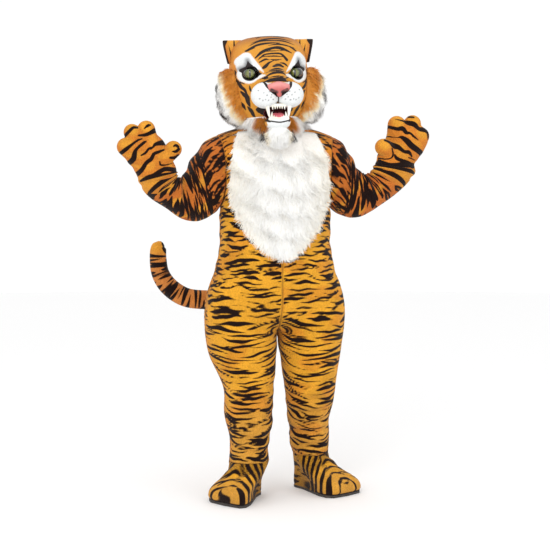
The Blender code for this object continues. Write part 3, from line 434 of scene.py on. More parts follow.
def stroke_field(place_a, place_b, strokes):
    """Largest of half thickness minus distance over tapering strokes; a stroke is rows of a, b, half thickness."""
    field = np.full(place_a.shape, -0.05)
    for stroke in strokes:
        stroke = np.asarray(stroke, float)
        margin = stroke[:, 2].max() + 0.02
        near = (
            (place_a > stroke[:, 0].min() - margin) & (place_a < stroke[:, 0].max() + margin)
            & (place_b > stroke[:, 1].min() - margin) & (place_b < stroke[:, 1].max() + margin)
        )
        if not near.any():
            continue
        a, b = place_a[near], place_b[near]
        best = field[near]
        for start, end in zip(stroke, stroke[1:]):
            t, distance = beside_stretch(a, b, start, end)
            best = np.maximum(best, start[2] + (end[2] - start[2]) * t - distance)
        field[near] = best
    return field


def smooth_stroke(stroke):
    """The same stroke with more places along it, joined by a smooth curve."""
    made = smooth_rows(stroke, 5)
    made[:, 2] = np.maximum(made[:, 2], 0)
    return made


def smooth_field(place_a, place_b, strokes):
    return stroke_field(place_a, place_b, [smooth_stroke(stroke) for stroke in strokes])


def lens(random, start, end, thickness, wander, steps=16):
    """A wavy stroke between two places, with a full belly and long thin ends."""
    t = np.linspace(0, 1, steps)
    peak = random.uniform(0.30, 0.70)
    skewed = np.where(t < peak, t / peak / 2, 0.5 + (t - peak) / (1 - peak) / 2)
    arch = np.sin(np.pi * skewed)
    half = thickness / 2 * (0.66 * arch**0.5 + 0.34 * arch**2.0) - 0.0002
    phase = random.uniform(0, 2 * math.pi, 3)
    half = half * (1 + 0.16 * np.sin(7.5 * t + phase[2]))
    wave = wander * (np.sin(2 * math.pi * t + phase[0]) + 0.45 * np.sin(5.2 * math.pi * t + phase[1]))
    a = start[0] + (end[0] - start[0]) * t
    b = start[1] + (end[1] - start[1]) * t + wave
    return np.stack((a, b, half), axis=-1)


def random_stripes(
    seed, width, low, high, pitch=0.0184, thickness=0.0152, run=(0.11, 0.21), gap=(-0.012, 0.026), wander=0.0030
):
    """Close rows of wavy strokes across a band of cloth, with forks and light middles.

    width gives the band's first and last place across, low and high its ends along. Rows are a pitch apart.
    run and gap are the least and the most length of a stroke and of the space after it.
    """
    random = np.random.default_rng(seed)
    strokes, hollows = [], []
    left, right = width
    level = low + pitch * random.uniform(0, 0.6)
    while level < high:
        place = left - random.uniform(0, run[1])
        while place < right:
            length = random.uniform(*run)
            thick = thickness * random.uniform(0.48, 1.15)
            tilt = random.uniform(-0.05, 0.05) * length
            rise = random.uniform(-0.16, 0.16) * pitch
            start, end = (place, level + rise - tilt / 2), (place + length, level + rise + tilt / 2)
            main = lens(random, start, end, thick, wander)
            strokes.append(main)
            kind = random.uniform()
            if kind < 0.16:
                direction = random.choice((-1, 1))
                fork_start = (place + length * random.uniform(0.3, 0.5), level + rise)
                fork_end = (place + length * random.uniform(0.9, 1.1), level + rise + direction * pitch * 0.55)
                strokes.append(lens(random, fork_start, fork_end, thick * 0.55, wander * 0.5))
            elif kind < 0.40 and thick > thickness * 0.72:
                hollow = main[4:-3].copy()
                hollow[:, 2] = 0.0013
                hollow[[0, -1], 2] = 0
                hollow[:, 1] += random.uniform(-0.0015, 0.0015)
                hollows.append(hollow)
            place += length + random.uniform(*gap)
        level += pitch * random.uniform(0.90, 1.10)
    return strokes, hollows


def stripe_marks(place_a, place_b, drawn):
    strokes, hollows = drawn
    field = stroke_field(place_a, place_b, strokes)
    if hollows:
        field = np.minimum(field, -stroke_field(place_a, place_b, hollows))
    return field


# Creases: soft troughs with a ridge on each side

def crease_depth(place_a, place_b, creases):
    """Height to add at each place; a crease is its width, its depth and rows of a, b."""
    height = np.zeros(place_a.shape)
    for width, depth, *line in creases:
        line = np.asarray(line, float)
        steps = len(line) - 1
        nearest = np.full(place_a.shape, 1.0)
        progress = np.zeros(place_a.shape)
        for index in range(steps):
            t, distance = beside_stretch(place_a, place_b, line[index], line[index + 1])
            closer = distance < nearest
            nearest = np.where(closer, distance, nearest)
            progress = np.where(closer, (index + t) / steps, progress)
        taper = np.sin(np.pi * np.clip(progress, 0.03, 0.97)) ** 0.6
        scaled = nearest / width
        height += depth * taper * (-np.exp(-scaled**2) + 0.55 * np.exp(-((scaled - 1.9) / 0.9) ** 2))
    return height


# Materials

def srgb(red, green, blue):
    """Linear colour of a screen colour given from 0 to 255."""
    values = np.array((red, green, blue), float) / 255
    return tuple(np.where(values <= 0.04045, values / 12.92, ((values + 0.055) / 1.055) ** 2.4))


class Nodes:
    """Short calls for adding nodes to a material."""

    def __init__(self, name):
        self.material = bpy.data.materials.new(name)
        self.material.use_nodes = True
        self.tree = self.material.node_tree
        self.shader = self.tree.nodes["Principled BSDF"]

    def add(self, kind, **inputs):
        node = self.tree.nodes.new("ShaderNode" + kind)
        for key, value in inputs.items():
            if key.startswith("set_"):
                setattr(node, key[4:], value)
                continue
            socket = node.inputs[int(key[1:])] if key[0] == "i" and key[1:].isdigit() else node.inputs[key]
            self.feed(socket, value)
        return node

    def feed(self, socket, value):
        if isinstance(value, bpy.types.NodeSocket):
            self.tree.links.new(value, socket)
        else:
            socket.default_value = value

    def attribute(self, name, output="Fac"):
        return self.add("Attribute", set_attribute_name=name).outputs[output]

    def noise(self, scale, detail=2.0, roughness=0.5, vector=None):
        node = self.add("TexNoise", Scale=scale, Detail=detail, Roughness=roughness)
        self.feed(node.inputs["Vector"], vector or self.place())
        return node.outputs["Fac"]

    def place(self):
        if not hasattr(self, "coordinates"):
            self.coordinates = self.add("TexCoord").outputs["Object"]
        return self.coordinates

    def math(self, operation, first, second=0.0, third=0.0):
        return self.add("Math", set_operation=operation, i0=first, i1=second, i2=third).outputs[0]

    def mix(self, factor, first, second, blend="MIX"):
        node = self.add("Mix", set_data_type="RGBA", set_blend_type=blend)
        self.feed(node.inputs[0], factor)
        self.feed(node.inputs[6], first)
        self.feed(node.inputs[7], second)
        return node.outputs[2]

    def span(self, value, low, high, to_low=0.0, to_high=1.0):
        node = self.add("MapRange", set_interpolation_type="SMOOTHSTEP")
        for index, item in enumerate((value, low, high, to_low, to_high)):
            self.feed(node.inputs[index], item)
        return node.outputs[0]

    def bump(self, height, distance, strength=1.0, after=None):
        node = self.add("Bump", Height=height, Distance=distance, Strength=strength)
        if after:
            self.feed(node.inputs["Normal"], after)
        return node.outputs["Normal"]

    def lit(self, colour, first, second):
        """A colour times two numbers."""
        light = self.math("MULTIPLY", first, second)
        return self.mix(1.0, colour, self.add("CombineColor", i0=light, i1=light, i2=light).outputs[0], "MULTIPLY")

    def striped(self, base, scale, unevenness, low, high):
        """Black where the mesh is marked, with an uneven edge."""
        uneven = self.math("MULTIPLY", self.math("SUBTRACT", self.noise(scale, 3, 0.7), 0.5), unevenness)
        return self.mix(self.span(self.math("ADD", self.attribute("mark"), uneven), low, high), base, STRIPE_BLACK)

    def finish(self, **inputs):
        for key, value in inputs.items():
            self.feed(self.shader.inputs[key.replace("_", " ")], value)
        return self.material


STRIPE_BLACK = (*srgb(24, 8, 5), 1)


def plush_material(name):
    """Short pile whose base colour and stripes are painted on the mesh."""
    made = Nodes(name)
    tone = made.attribute("tone", "Color")
    pile = made.noise(1100, 3, 0.7)
    clump = made.noise(170, 3, 0.6)
    patch = made.noise(14, 2, 0.5)
    shade = made.span(clump, 0.3, 0.7, 0.84, 1.12)
    drift = made.span(patch, 0.3, 0.7, 0.90, 1.08)
    base = made.lit(tone, made.math("MULTIPLY", shade, drift), made.span(pile, 0.3, 0.75, 0.80, 1.10))
    coloured = made.striped(base, 420, 0.0046, -0.0012, 0.0014)
    relief = made.bump(pile, 0.0014, 0.8)
    relief = made.bump(clump, 0.003, 0.55, relief)
    return made.finish(
        Base_Color=coloured, Roughness=0.88, Normal=relief, Sheen_Weight=0.08, Sheen_Roughness=0.45,
        Specular_IOR_Level=0.14,
    )


PLUSH = plush_material("striped_plush")
ORANGE_BODY = srgb(226, 160, 44)
ORANGE_SHIN = srgb(210, 150, 58)
ORANGE_DEEP = srgb(206, 120, 38)
ORANGE_ARM = srgb(194, 108, 42)
ORANGE_GOLD = srgb(224, 154, 50)
ORANGE_HAND = srgb(206, 124, 42)
ORANGE_TAIL = srgb(204, 128, 62)
HEAD_ORANGE = srgb(214, 146, 42)


def blend_colour(first, second, factor):
    return np.asarray(first) * (1 - factor[..., None]) + np.asarray(second) * factor[..., None]


# Suit panels

PANEL_COLUMNS = 70
SEAM_WIDTH = 0.006
SEAM_DEPTH = 0.0022


def panel_grid(side, back):
    share = np.linspace(0, 1, PANEL_COLUMNS + 1)
    leg_heights = np.linspace(HEM_HEIGHT, CROTCH[2], 94)[:-1]
    climbs = np.linspace(0, 1, 25)[:-1]
    heights = np.linspace(0.800, ARMPIT_HEIGHT, 70)[:-1]
    yokes = np.linspace(0, 1, 56)
    rows = [
        leg_surface(side, leg_heights[:, None], share[None, :], back),
        rise_surface(side, *np.meshgrid(climbs, share, indexing="ij"), back),
        torso_surface(side, *np.meshgrid(heights, share, indexing="ij"), back),
        yoke_surface(side, *np.meshgrid(yokes, share, indexing="ij"), back),
    ]
    grid = np.concatenate(rows)
    first_yoke = len(grid) - len(yokes)
    faired = grid.copy()
    for _ in range(30):
        faired[1:-1] += (faired[2:] + faired[:-2] - 2 * faired[1:-1]) * 0.25
    amount = ramp(share, 0.08, 0.30)[None, :, None] * (1 - ramp(grid[..., 2], 1.10, 1.17))[..., None]
    grid = grid + (faired - grid) * amount
    along = grid[..., 2].copy()
    reach = lengths(grid[first_yoke:], 0)
    along[first_yoke:] = ARMPIT_HEIGHT + reach
    return grid, along


def panel_creases(side, back):
    """Soft folds in the leg and body, as width, depth and places across and up."""
    sway = 0.006 * side
    lines = [
        (0.012, 0.0065, (0.02, 0.205 + sway), (0.12, 0.192), (0.22, 0.212 - sway)),
        (0.014, 0.0070, (0.01, 0.262), (0.10, 0.243 + sway), (0.21, 0.258)),
        (0.012, 0.0050, (0.05, 0.300 - sway), (0.14, 0.292), (0.24, 0.312)),
        (0.015, 0.0065, (0.00, 0.345), (0.11, 0.326 + sway), (0.25, 0.352)),
        (0.016, 0.0055, (0.03, 0.405 + sway), (0.15, 0.390), (0.28, 0.410)),
        (0.018, 0.0050, (0.00, 0.462), (0.13, 0.445), (0.26, 0.470 + sway)),
        (0.018, 0.0040, (0.02, 0.560), (0.14, 0.585 + sway), (0.24, 0.640)),
        (0.016, 0.0045, (0.01, 0.640), (0.10, 0.672), (0.22, 0.728 + sway)),
        (0.020, 0.0035, (0.08, 0.900 - sway), (0.22, 0.925), (0.34, 0.910)),
        (0.020, 0.0035, (0.16, 1.010), (0.26, 1.030 + sway), (0.35, 1.060)),
        (0.016, 0.0050, (0.22, 1.150), (0.29, 1.185 + sway), (0.345, 1.215)),
    ]
    if back:
        lines += [
            (0.018, 0.0060, (0.02, 0.430), (0.12, 0.418), (0.22, 0.438)),
            (0.020, 0.0065, (0.02, 0.700), (0.14, 0.690 + sway), (0.30, 0.740)),
            (0.022, 0.0050, (0.02, 0.980 + sway), (0.16, 0.965), (0.32, 0.990)),
            (0.022, 0.0045, (0.03, 1.300), (0.12, 1.330), (0.20, 1.400)),
        ]
    return lines


def build_panel(side, back):
    grid, along = panel_grid(side, back)
    across = lengths(grid, 1)
    width = across[:, -1:]
    normals = outward_normals(grid, False, len(grid) // 2, PANEL_COLUMNS // 2)
    edge = np.minimum(across, width - across)
    relief = -SEAM_DEPTH * np.exp(-(edge / SEAM_WIDTH) ** 2)
    if not back:
        middle = np.abs(across - width * 0.5)
        relief = relief - 0.0016 * np.exp(-(middle / 0.004) ** 2) * (1 - ramp(grid[..., 2], 0.41, 0.43))
    relief = relief + crease_depth(across, along, panel_creases(side, back)) * ramp(edge, 0.0, 0.02)
    surface = grid + normals * relief[..., None]
    seed = 11 + side + 5 * back
    share = across / width
    height = grid[..., 2]
    place_a = share * (0.30 + 0.10 * ramp(height, 0.62, 0.80))
    legs = 1 - ramp(height, 0.66, 0.82)
    place_b = along + 0.034 * legs * (1 - np.abs(2 * share - 1) ** 2.2) - 0.020 * legs * (1 - share) ** 4
    place_b = place_b + 0.0035 * np.sin(place_a * 31 + along * 9 + seed) + 0.0025 * np.sin(place_a * 17 - along * 23)
    drawn = random_stripes(seed, (0.0, 0.42), 0.12, 1.60)
    mark = stripe_marks(place_a, place_b, drawn)
    mark = np.minimum(mark, (edge - 0.0012) * 4)
    tone = blend_colour(ORANGE_SHIN, ORANGE_BODY, ramp(height, 0.28, 0.50))
    tone = blend_colour(tone, ORANGE_ARM, ramp(height, 1.30, 1.46) * 0.55)
    # Painted shade: deeper orange towards the side seam, where the body turns away from the light.
    tone = blend_colour(tone, ORANGE_DEEP, ramp(share, 0.80, 1.0) * 0.50)
    warm = swirl(surface.reshape(-1, 3), 5 + seed, 0.14)[:, 0].reshape(share.shape)
    tone = blend_colour(tone, ORANGE_DEEP, ramp(warm, 0.25, 0.9) * 0.40)
    seam_shadow = 1 - 0.35 * np.exp(-(edge / 0.0035) ** 2)
    name = ("back_" if back else "front_") + SIDE_NAMES[side]
    attributes = {"tone": tone * seam_shadow[..., None], "mark": mark}
    panel = shell_object("suit_" + name, surface, normals, CLOTH, False, attributes, PLUSH)
    dress(panel, "plush", name)
    return panel, surface, normals


PANELS = {(side, back): build_panel(side, back) for side in SIDES for back in (False, True)}


# Sleeves

RING_COLUMNS = 96
CAP_REACH = 0.085
# Bold bars at the wrist: place round the arm, distance from the cuff, half thickness
WRIST_BARS = metres((
    ((-275, 62, 3), (-205, 52, 7), (-125, 38, 11), (-45, 28, 10), (40, 26, 4)),
    ((-250, 12, 3), (-165, 4, 9), (-55, 0, 10), (30, 4, 4)),
    ((45, 50, 2), (125, 40, 10), (200, 46, 6), (276, 56, 2)),
    ((80, 12, 2), (150, 6, 8), (230, 12, 3)),
))


def ring_between(rows, turn):
    """Rings that start at their outer point and turn through the front to their inner point."""
    rows = np.asarray(rows, float)
    inner = points(rows[:, 0], rows[:, 4], rows[:, 1])
    outer = points(rows[:, 2], rows[:, 4], rows[:, 3])
    centre = (inner + outer) / 2
    around = (outer - centre)[:, None, :] * np.cos(turn)[None, :, None]
    depth = -rows[:, 5][:, None] * np.sin(turn)[None, :]
    return centre[:, None, :] + around + points(0 * depth, depth, 0 * depth)


def sleeve_rings(side):
    turn = np.arange(RING_COLUMNS) / RING_COLUMNS * 2 * math.pi
    front = turn <= math.pi
    climb = np.where(front, turn / math.pi, 2 - turn / math.pi)
    armhole = armhole_line(side, climb, ~front)
    rings = [armhole, *ring_between(SLEEVES[side], turn)]
    return smooth_rows(rings, 14), turn


def build_sleeve(side):
    rings, turn = sleeve_rings(side)
    along_row = lengths(rings.mean(axis=1), 0)
    across = (turn[None, :] / (2 * math.pi) - 0.5) * (2 * math.pi * 0.088)
    across = np.broadcast_to(across, rings.shape[:2])
    along = np.broadcast_to(along_row[:, None], rings.shape[:2])
    normals = outward_normals(rings, True, 20)
    total = along_row[-1]
    creases = [
        (0.010, 0.0075, (-0.09, 0.215), (0.0, 0.222), (0.10, 0.214)),
        (0.012, 0.0065, (0.02, 0.190), (0.09, 0.196), (0.20, 0.176)),
        (0.012, 0.0065, (-0.25, 0.180), (-0.12, 0.197), (-0.02, 0.196)),
        (0.013, 0.0050, (-0.16, 0.243), (-0.05, 0.250), (0.12, 0.246)),
        (0.014, 0.0045, (-0.20, 0.285), (-0.02, 0.292), (0.16, 0.280)),
        (0.014, 0.0045, (-0.12, 0.130), (0.02, 0.142), (0.18, 0.120)),
        (0.016, 0.0045, (-0.20, 0.075), (-0.06, 0.088), (0.06, 0.070)),
    ]
    creases = [(w, d, *[(a, b / 0.33 * total * 0.9) for a, b in line]) for w, d, *line in creases]
    relief = crease_depth(across, along, creases)
    relief = relief - SEAM_DEPTH * np.exp(-(along / SEAM_WIDTH) ** 2)
    relief = relief - SEAM_DEPTH * np.exp(-((0.277 - np.abs(across)) / SEAM_WIDTH) ** 2)
    relief = relief + 0.004 * np.exp(-((total - along - 0.010) / 0.008) ** 2)
    relief = relief - 0.003 * np.exp(-((total - along - 0.026) / 0.006) ** 2)
    surface = rings + normals * relief[..., None]
    drawn = random_stripes(
        31 + side, (-0.30, 0.30), 0.0, total - 0.070, 0.0185, 0.0220, (0.10, 0.21), (0.000, 0.026), 0.0022
    )
    upper = random_stripes(
        61 + side, (-0.15, 0.15), 0.004, 0.185, 0.0200, 0.0150, (0.07, 0.13), (0.000, 0.020), 0.0022
    )
    bars = [[(a, total - b, half) for a, b, half in bar] for bar in WRIST_BARS]
    mark = np.maximum(stripe_marks(across, along, drawn), smooth_field(across, along, bars))
    mark = np.maximum(mark, stripe_marks(across, along + 0.010, upper))
    cap = random_stripes(
        71 + side, (-0.03, 0.13), -0.32, 0.32, 0.0185, 0.0180, (0.06, 0.11), (-0.016, 0.006), 0.0022
    )
    slanted = across + 0.25 * along
    cap_mark = np.minimum(stripe_marks(along, slanted, cap), CAP_REACH + 0.008 - along)
    mark = np.maximum(cap_mark, np.minimum(mark, along - CAP_REACH + 0.008))
    gold = swirl(surface.reshape(-1, 3), 19 + side, 0.10)[:, 0].reshape(across.shape)
    gold = np.maximum(ramp(gold, 0.15, 0.8), ramp(along, total - 0.09, total - 0.03))
    tone = blend_colour(ORANGE_ARM, ORANGE_GOLD, gold * 0.85)
    name = "sleeve_" + SIDE_NAMES[side]
    sleeve = shell_object("suit_" + name, surface, normals, CLOTH, True, {"tone": tone, "mark": mark}, PLUSH)
    dress(sleeve, "plush", name)
    return sleeve, surface


SLEEVE_PIECES = {side: build_sleeve(side) for side in SIDES}


# Surfaces from distance fields

def surface_net(field, low, high, step):
    """Closed surface where a distance function is 0, as points and four-sided faces."""
    axes = [np.arange(a, b + step, step) for a, b in zip(low, high)]
    values = field(*np.meshgrid(*axes, indexing="ij"))
    inside = values < 0
    total = np.zeros((*[size - 1 for size in values.shape], 3))
    crossings = np.zeros(total.shape[:3])
    for axis in range(3):
        first = np.take(values, range(values.shape[axis] - 1), axis=axis)
        second = np.take(values, range(1, values.shape[axis]), axis=axis)
        crossed = (first < 0) != (second < 0)
        share = np.where(crossed, first / np.where(crossed, first - second, 1), 0)
        others = [other for other in range(3) if other != axis]
        for shift in ((0, 0), (0, 1), (1, 0), (1, 1)):
            window = [slice(None)] * 3
            for other, by in zip(others, shift):
                window[other] = slice(by, by + total.shape[other])
            hit = crossed[tuple(window)]
            crossings += hit
            total[..., axis] += np.where(hit, share[tuple(window)], 0)
            for other, by in zip(others, shift):
                total[..., other] += hit * by
    active = crossings > 0
    number = np.full(active.shape, -1)
    number[active] = np.arange(active.sum())
    corner = np.stack(np.nonzero(active), axis=-1)
    vertices = np.array(low) + (corner + total[active] / crossings[active][:, None]) * step
    quads = []
    for axis in range(3):
        lower = np.take(inside, range(inside.shape[axis] - 1), axis=axis)
        upper = np.take(inside, range(1, inside.shape[axis]), axis=axis)
        place = np.stack(np.nonzero(lower != upper), axis=-1)
        others = [other for other in range(3) if other != axis]
        keep = np.all([(place[:, o] > 0) & (place[:, o] < inside.shape[o] - 1) for o in others], axis=0)
        place = place[keep]
        around = []
        for shift in ((-1, -1), (0, -1), (0, 0), (-1, 0)):
            cell = place.copy()
            for other, by in zip(others, shift):
                cell[:, other] += by
            around.append(number[tuple(cell.T)])
        quad = np.stack(around, axis=-1)
        outward = lower[tuple(place.T)]
        if axis == 1:
            outward = ~outward
        quad[~outward] = quad[~outward][:, ::-1]
        quads.append(quad)
    return vertices, np.concatenate(quads)


def soft_union(first, second, softness):
    t = np.clip(0.5 + 0.5 * (second - first) / softness, 0, 1)
    return second + (first - second) * t - softness * t * (1 - t)


def soft_cut(body, hole, softness):
    return -soft_union(-body, hole, softness)


def ellipsoid_field(x, y, z, centre, radii, tilt=0.0, swing=0.0):
    """Distance to an ellipsoid, tilted about Y and swung about Z."""
    px, py, pz = x - centre[0], y - centre[1], z - centre[2]
    px, pz = px * math.cos(tilt) + pz * math.sin(tilt), pz * math.cos(tilt) - px * math.sin(tilt)
    px, py = px * math.cos(swing) + py * math.sin(swing), py * math.cos(swing) - px * math.sin(swing)
    near = np.sqrt((px / radii[0]) ** 2 + (py / radii[1]) ** 2 + (pz / radii[2]) ** 2)
    slope = np.sqrt((px / radii[0] ** 2) ** 2 + (py / radii[1] ** 2) ** 2 + (pz / radii[2] ** 2) ** 2)
    return near * (near - 1) / np.maximum(slope, 1e-6)


def capsule_field(x, y, z, root, tip, radius, tip_radius=None):
    tip_radius = radius if tip_radius is None else tip_radius
    axis = np.array(tip) - np.array(root)
    px, py, pz = x - root[0], y - root[1], z - root[2]
    t = np.clip((px * axis[0] + py * axis[1] + pz * axis[2]) / (axis @ axis), 0, 1)
    distance = np.sqrt((px - t * axis[0]) ** 2 + (py - t * axis[1]) ** 2 + (pz - t * axis[2]) ** 2)
    return distance - (radius + (tip_radius - radius) * t)


def both(build):
    """Builds the wearer's right one and then the left one."""
    for side in SIDES:
        build(side)


# Gloves

def glove_field(side):
    rows = PALMS[side]
    cuff = SLEEVES[side][-1]
    y = FINGER_Y[side]
    parts = []
    for inner_x, inner_height, outer_x, outer_height, row_y, depth in (cuff, *rows):
        half = math.hypot(outer_x - inner_x, outer_height - inner_height) / 2
        tilt = math.atan2(outer_height - inner_height, outer_x - inner_x)
        centre = ((inner_x + outer_x) / 2, row_y, (inner_height + outer_height) / 2)
        parts.append((centre, (half * 0.985, depth * 0.97, 0.040), tilt))

    def field(px, py, pz):
        made = None
        for centre, radii, tilt in parts:
            part = ellipsoid_field(px, py, pz, centre, radii, tilt)
            made = part if made is None else soft_union(made, part, 0.022)
        for root_x, root_z, tip_x, tip_z, radius in FINGERS[side]:
            finger = capsule_field(px, py, pz, (root_x, y, root_z), (tip_x, y, tip_z), radius * 0.97, radius)
            made = soft_union(made, finger, 0.005)
        root_x, root_z, tip_x, tip_z, radius = THUMBS[side]
        thumb = capsule_field(
            px, py, pz, (root_x, y - THUMB_FORWARD / 2, root_z), (tip_x, y - THUMB_FORWARD, tip_z), radius
        )
        return soft_union(made, thumb, 0.006)

    return field


# Stripes of the palms: place across, height, half thickness
GLOVE_STRIPES = metres({
    -1: (
        ((-6370, 13920, 80), (-6160, 14080, 80), (-5950, 14250, 55), (-5730, 14410, 45), (-5580, 14460, 30)),
        ((-6240, 14570, 60), (-6080, 14740, 70), (-5910, 14900, 60), (-5750, 14910, 50)),
        ((-5490, 14860, 20), (-5350, 14980, 60), (-5250, 15010, 40)),
        ((-5700, 14600, 40), (-5450, 14620, 70), (-5250, 14700, 80), (-5060, 14810, 100)),
        ((-5250, 14040, 20), (-5160, 14130, 40), (-5060, 14250, 70), (-4860, 14310, 100), (-4700, 14340, 120)),
        (
            (-6110, 13490, 100), (-5910, 13680, 110), (-5860, 13910, 90), (-5780, 14070, 60), (-5520, 14300, 60),
            (-5420, 14360, 30),
        ),
        ((-5620, 13810, 30), (-5450, 13910, 50), (-5320, 14070, 50), (-5160, 14130, 40)),
        (
            (-5750, 13100, 100), (-5580, 13260, 90), (-5420, 13520, 80), (-5220, 13680, 80), (-5120, 13870, 70),
            (-4920, 13960, 60), (-4730, 14040, 40),
        ),
        (
            (-5520, 12940, 50), (-5350, 12950, 100), (-5120, 13030, 100), (-4890, 13190, 90), (-4660, 13290, 90),
            (-4270, 13270, 100),
        ),
        ((-4480, 13730, 50), (-4300, 13740, 60), (-4170, 13830, 50)),
        ((-4400, 13970, 30), (-4270, 13970, 60), (-4150, 14070, 60)),
        ((-4370, 14170, 30), (-4270, 14210, 60), (-4180, 14160, 60)),
        ((-4890, 13580, 30), (-4860, 13450, 40), (-4660, 13450, 30), (-4400, 13520, 20)),
    ),
    1: (
        (
            (4300, 15100, 60), (4510, 15010, 70), (4690, 14970, 80), (4890, 14990, 100), (5010, 14830, 80),
            (5180, 14800, 50), (5320, 14670, 50), (5530, 14530, 20),
        ),
        (
            (4950, 15300, 40), (5150, 15230, 100), (5380, 15160, 110), (5580, 14990, 90), (5820, 14960, 110),
            (5960, 14860, 80), (6000, 14600, 40),
        ),
        ((5210, 15480, 50), (5380, 15460, 40)),
        (
            (4180, 14740, 20), (4400, 14660, 30), (4660, 14630, 20), (4830, 14630, 70), (5030, 14490, 120),
            (5240, 14290, 130), (5530, 14120, 120), (5760, 13990, 110),
        ),
        (
            (4110, 14500, 50), (4310, 14420, 70), (4510, 14290, 120), (4690, 14230, 100), (4920, 14060, 70),
            (5120, 14030, 80), (5270, 13860, 30),
        ),
        ((5120, 13820, 30), (5440, 13730, 20)),
        ((4540, 13920, 40), (4610, 13790, 70), (4830, 13690, 80), (5030, 13600, 120), (5350, 13490, 110)),
        (
            (3820, 13720, 120), (4050, 13580, 130), (4310, 13490, 120), (4600, 13520, 90), (4950, 13530, 120),
            (5400, 13520, 100),
        ),
        ((3910, 13830, 30), (4170, 13760, 30), (4400, 13800, 30), (4470, 13950, 40), (4400, 14170, 30)),
        ((4600, 15370, 20), (4920, 15300, 40)),
    ),
}, TENTHS)


def build_glove(side):
    name = SIDE_NAMES[side]
    boxes = [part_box(node + name) for node in ("palm_", "fingers_", "thumb_")]
    low = [min(box[0][axis] for box in boxes) - 0.012 for axis in range(3)]
    high = [max(box[1][axis] for box in boxes) + 0.012 for axis in range(3)]
    low[2] += HOLD_HEIGHT
    high[2] += HOLD_HEIGHT
    vertices, faces = surface_net(glove_field(side), low, high, 0.0038)
    front = smooth_field(vertices[:, 0], vertices[:, 2], GLOVE_STRIPES[side])
    behind = stripe_marks(
        vertices[:, 0], vertices[:, 2],
        random_stripes(71 + side, (low[0], high[0]), low[2], high[2], 0.026, 0.024, (0.08, 0.15)),
    )
    turned = ramp(vertices[:, 1], FINGER_Y[side] - 0.01, FINGER_Y[side] + 0.02)
    mark = np.where(turned < 0.5, front, behind)
    tips = np.full(len(vertices), 1.0)
    for _, _, tip_x, tip_z, _ in (*FINGERS[side], THUMBS[side]):
        tips = np.minimum(tips, np.hypot(vertices[:, 0] - tip_x, vertices[:, 2] - tip_z - 0.012))
    gold = 1 - ramp(tips, 0.016, 0.036)
    gold = np.maximum(gold, 0.6 * ramp(swirl(vertices, 23 + side, 0.06)[:, 0], 0.1, 0.9))
    tone = blend_colour(ORANGE_HAND, ORANGE_GOLD, gold)
    glove = new_mesh("paw_" + name, vertices, faces, {"tone": tone, "mark": mark}, PLUSH)
    dress(glove, "plush", "palm_" + name, "fingers_" + name, "thumb_" + name)


both(build_glove)


# Feet

def foot_outline(side, turn):
    place_x, place_y, direction, inner_toe, outer_toe = FEET[side]
    angle = math.radians(direction)
    ahead = np.array((side * math.sin(angle), -math.cos(angle)))
    across = np.array((side * math.cos(angle), math.sin(angle)))
    forward, sideways = np.sin(turn), -np.cos(turn)
    squared_forward = np.copysign(np.abs(forward) ** FOOT_SQUARENESS, forward)
    squared_sideways = np.copysign(np.abs(sideways) ** FOOT_SQUARENESS, sideways)
    toe = inner_toe + (outer_toe - inner_toe) * (1 + squared_sideways) / 2
    reach = np.where(forward > 0, toe, FOOT_HEEL) * squared_forward
    width = FOOT_HALF_WIDTH_HEEL + (FOOT_HALF_WIDTH_TOE - FOOT_HALF_WIDTH_HEEL) * np.maximum(0, forward) ** 0.5
    width = width * squared_sideways
    flat = np.array((place_x, place_y)) + reach[:, None] * ahead + width[:, None] * across
    return flat


# Stripes of the insteps: place across, place forward, half thickness
FOOT_STRIPES = metres((
    ((-45, 150, 3), (-70, 165, 9), (-92, 185, 13), (-100, 206, 15)),
    ((-50, 206, 4), (-30, 184, 6), (0, 172, 6), (30, 186, 6), (45, 206, 5)),
    ((-12, 206, 3), (2, 192, 4), (18, 204, 3)),
    ((50, 166, 3), (85, 172, 7), (110, 190, 9)),
    ((-128, 160, 7), (-85, 140, 8), (-50, 118, 5), (-20, 100, 2)),
    ((0, 140, 2), (45, 142, 5), (90, 150, 6), (125, 160, 3)),
    ((-128, 130, 4), (-90, 112, 6), (-55, 92, 5), (-25, 75, 2)),
    ((10, 112, 2), (60, 114, 6), (125, 120, 5)),
    ((-128, 102, 5), (-85, 84, 6), (-45, 66, 5), (-10, 56, 2)),
    ((20, 86, 3), (70, 86, 5), (125, 88, 4)),
    ((-128, 74, 4), (-85, 58, 6), (-40, 44, 4), (0, 40, 2)),
    ((10, 62, 2), (60, 60, 6), (125, 58, 4)),
    ((-128, 47, 5), (-80, 32, 6), (-35, 22, 4)),
    ((0, 30, 3), (50, 34, 5), (125, 30, 4)),
    ((-60, 154, 2), (-18, 136, 5), (30, 158, 3)),
    ((-50, 126, 2), (0, 108, 5), (50, 128, 3)),
    ((-46, 100, 2), (-4, 84, 5), (50, 100, 3)),
    ((-40, 76, 2), (2, 62, 5), (44, 76, 3)),
    ((-34, 54, 2), (0, 44, 5), (40, 52, 3)),
    ((-30, 32, 3), (2, 20, 5), (32, 32, 3)),
))


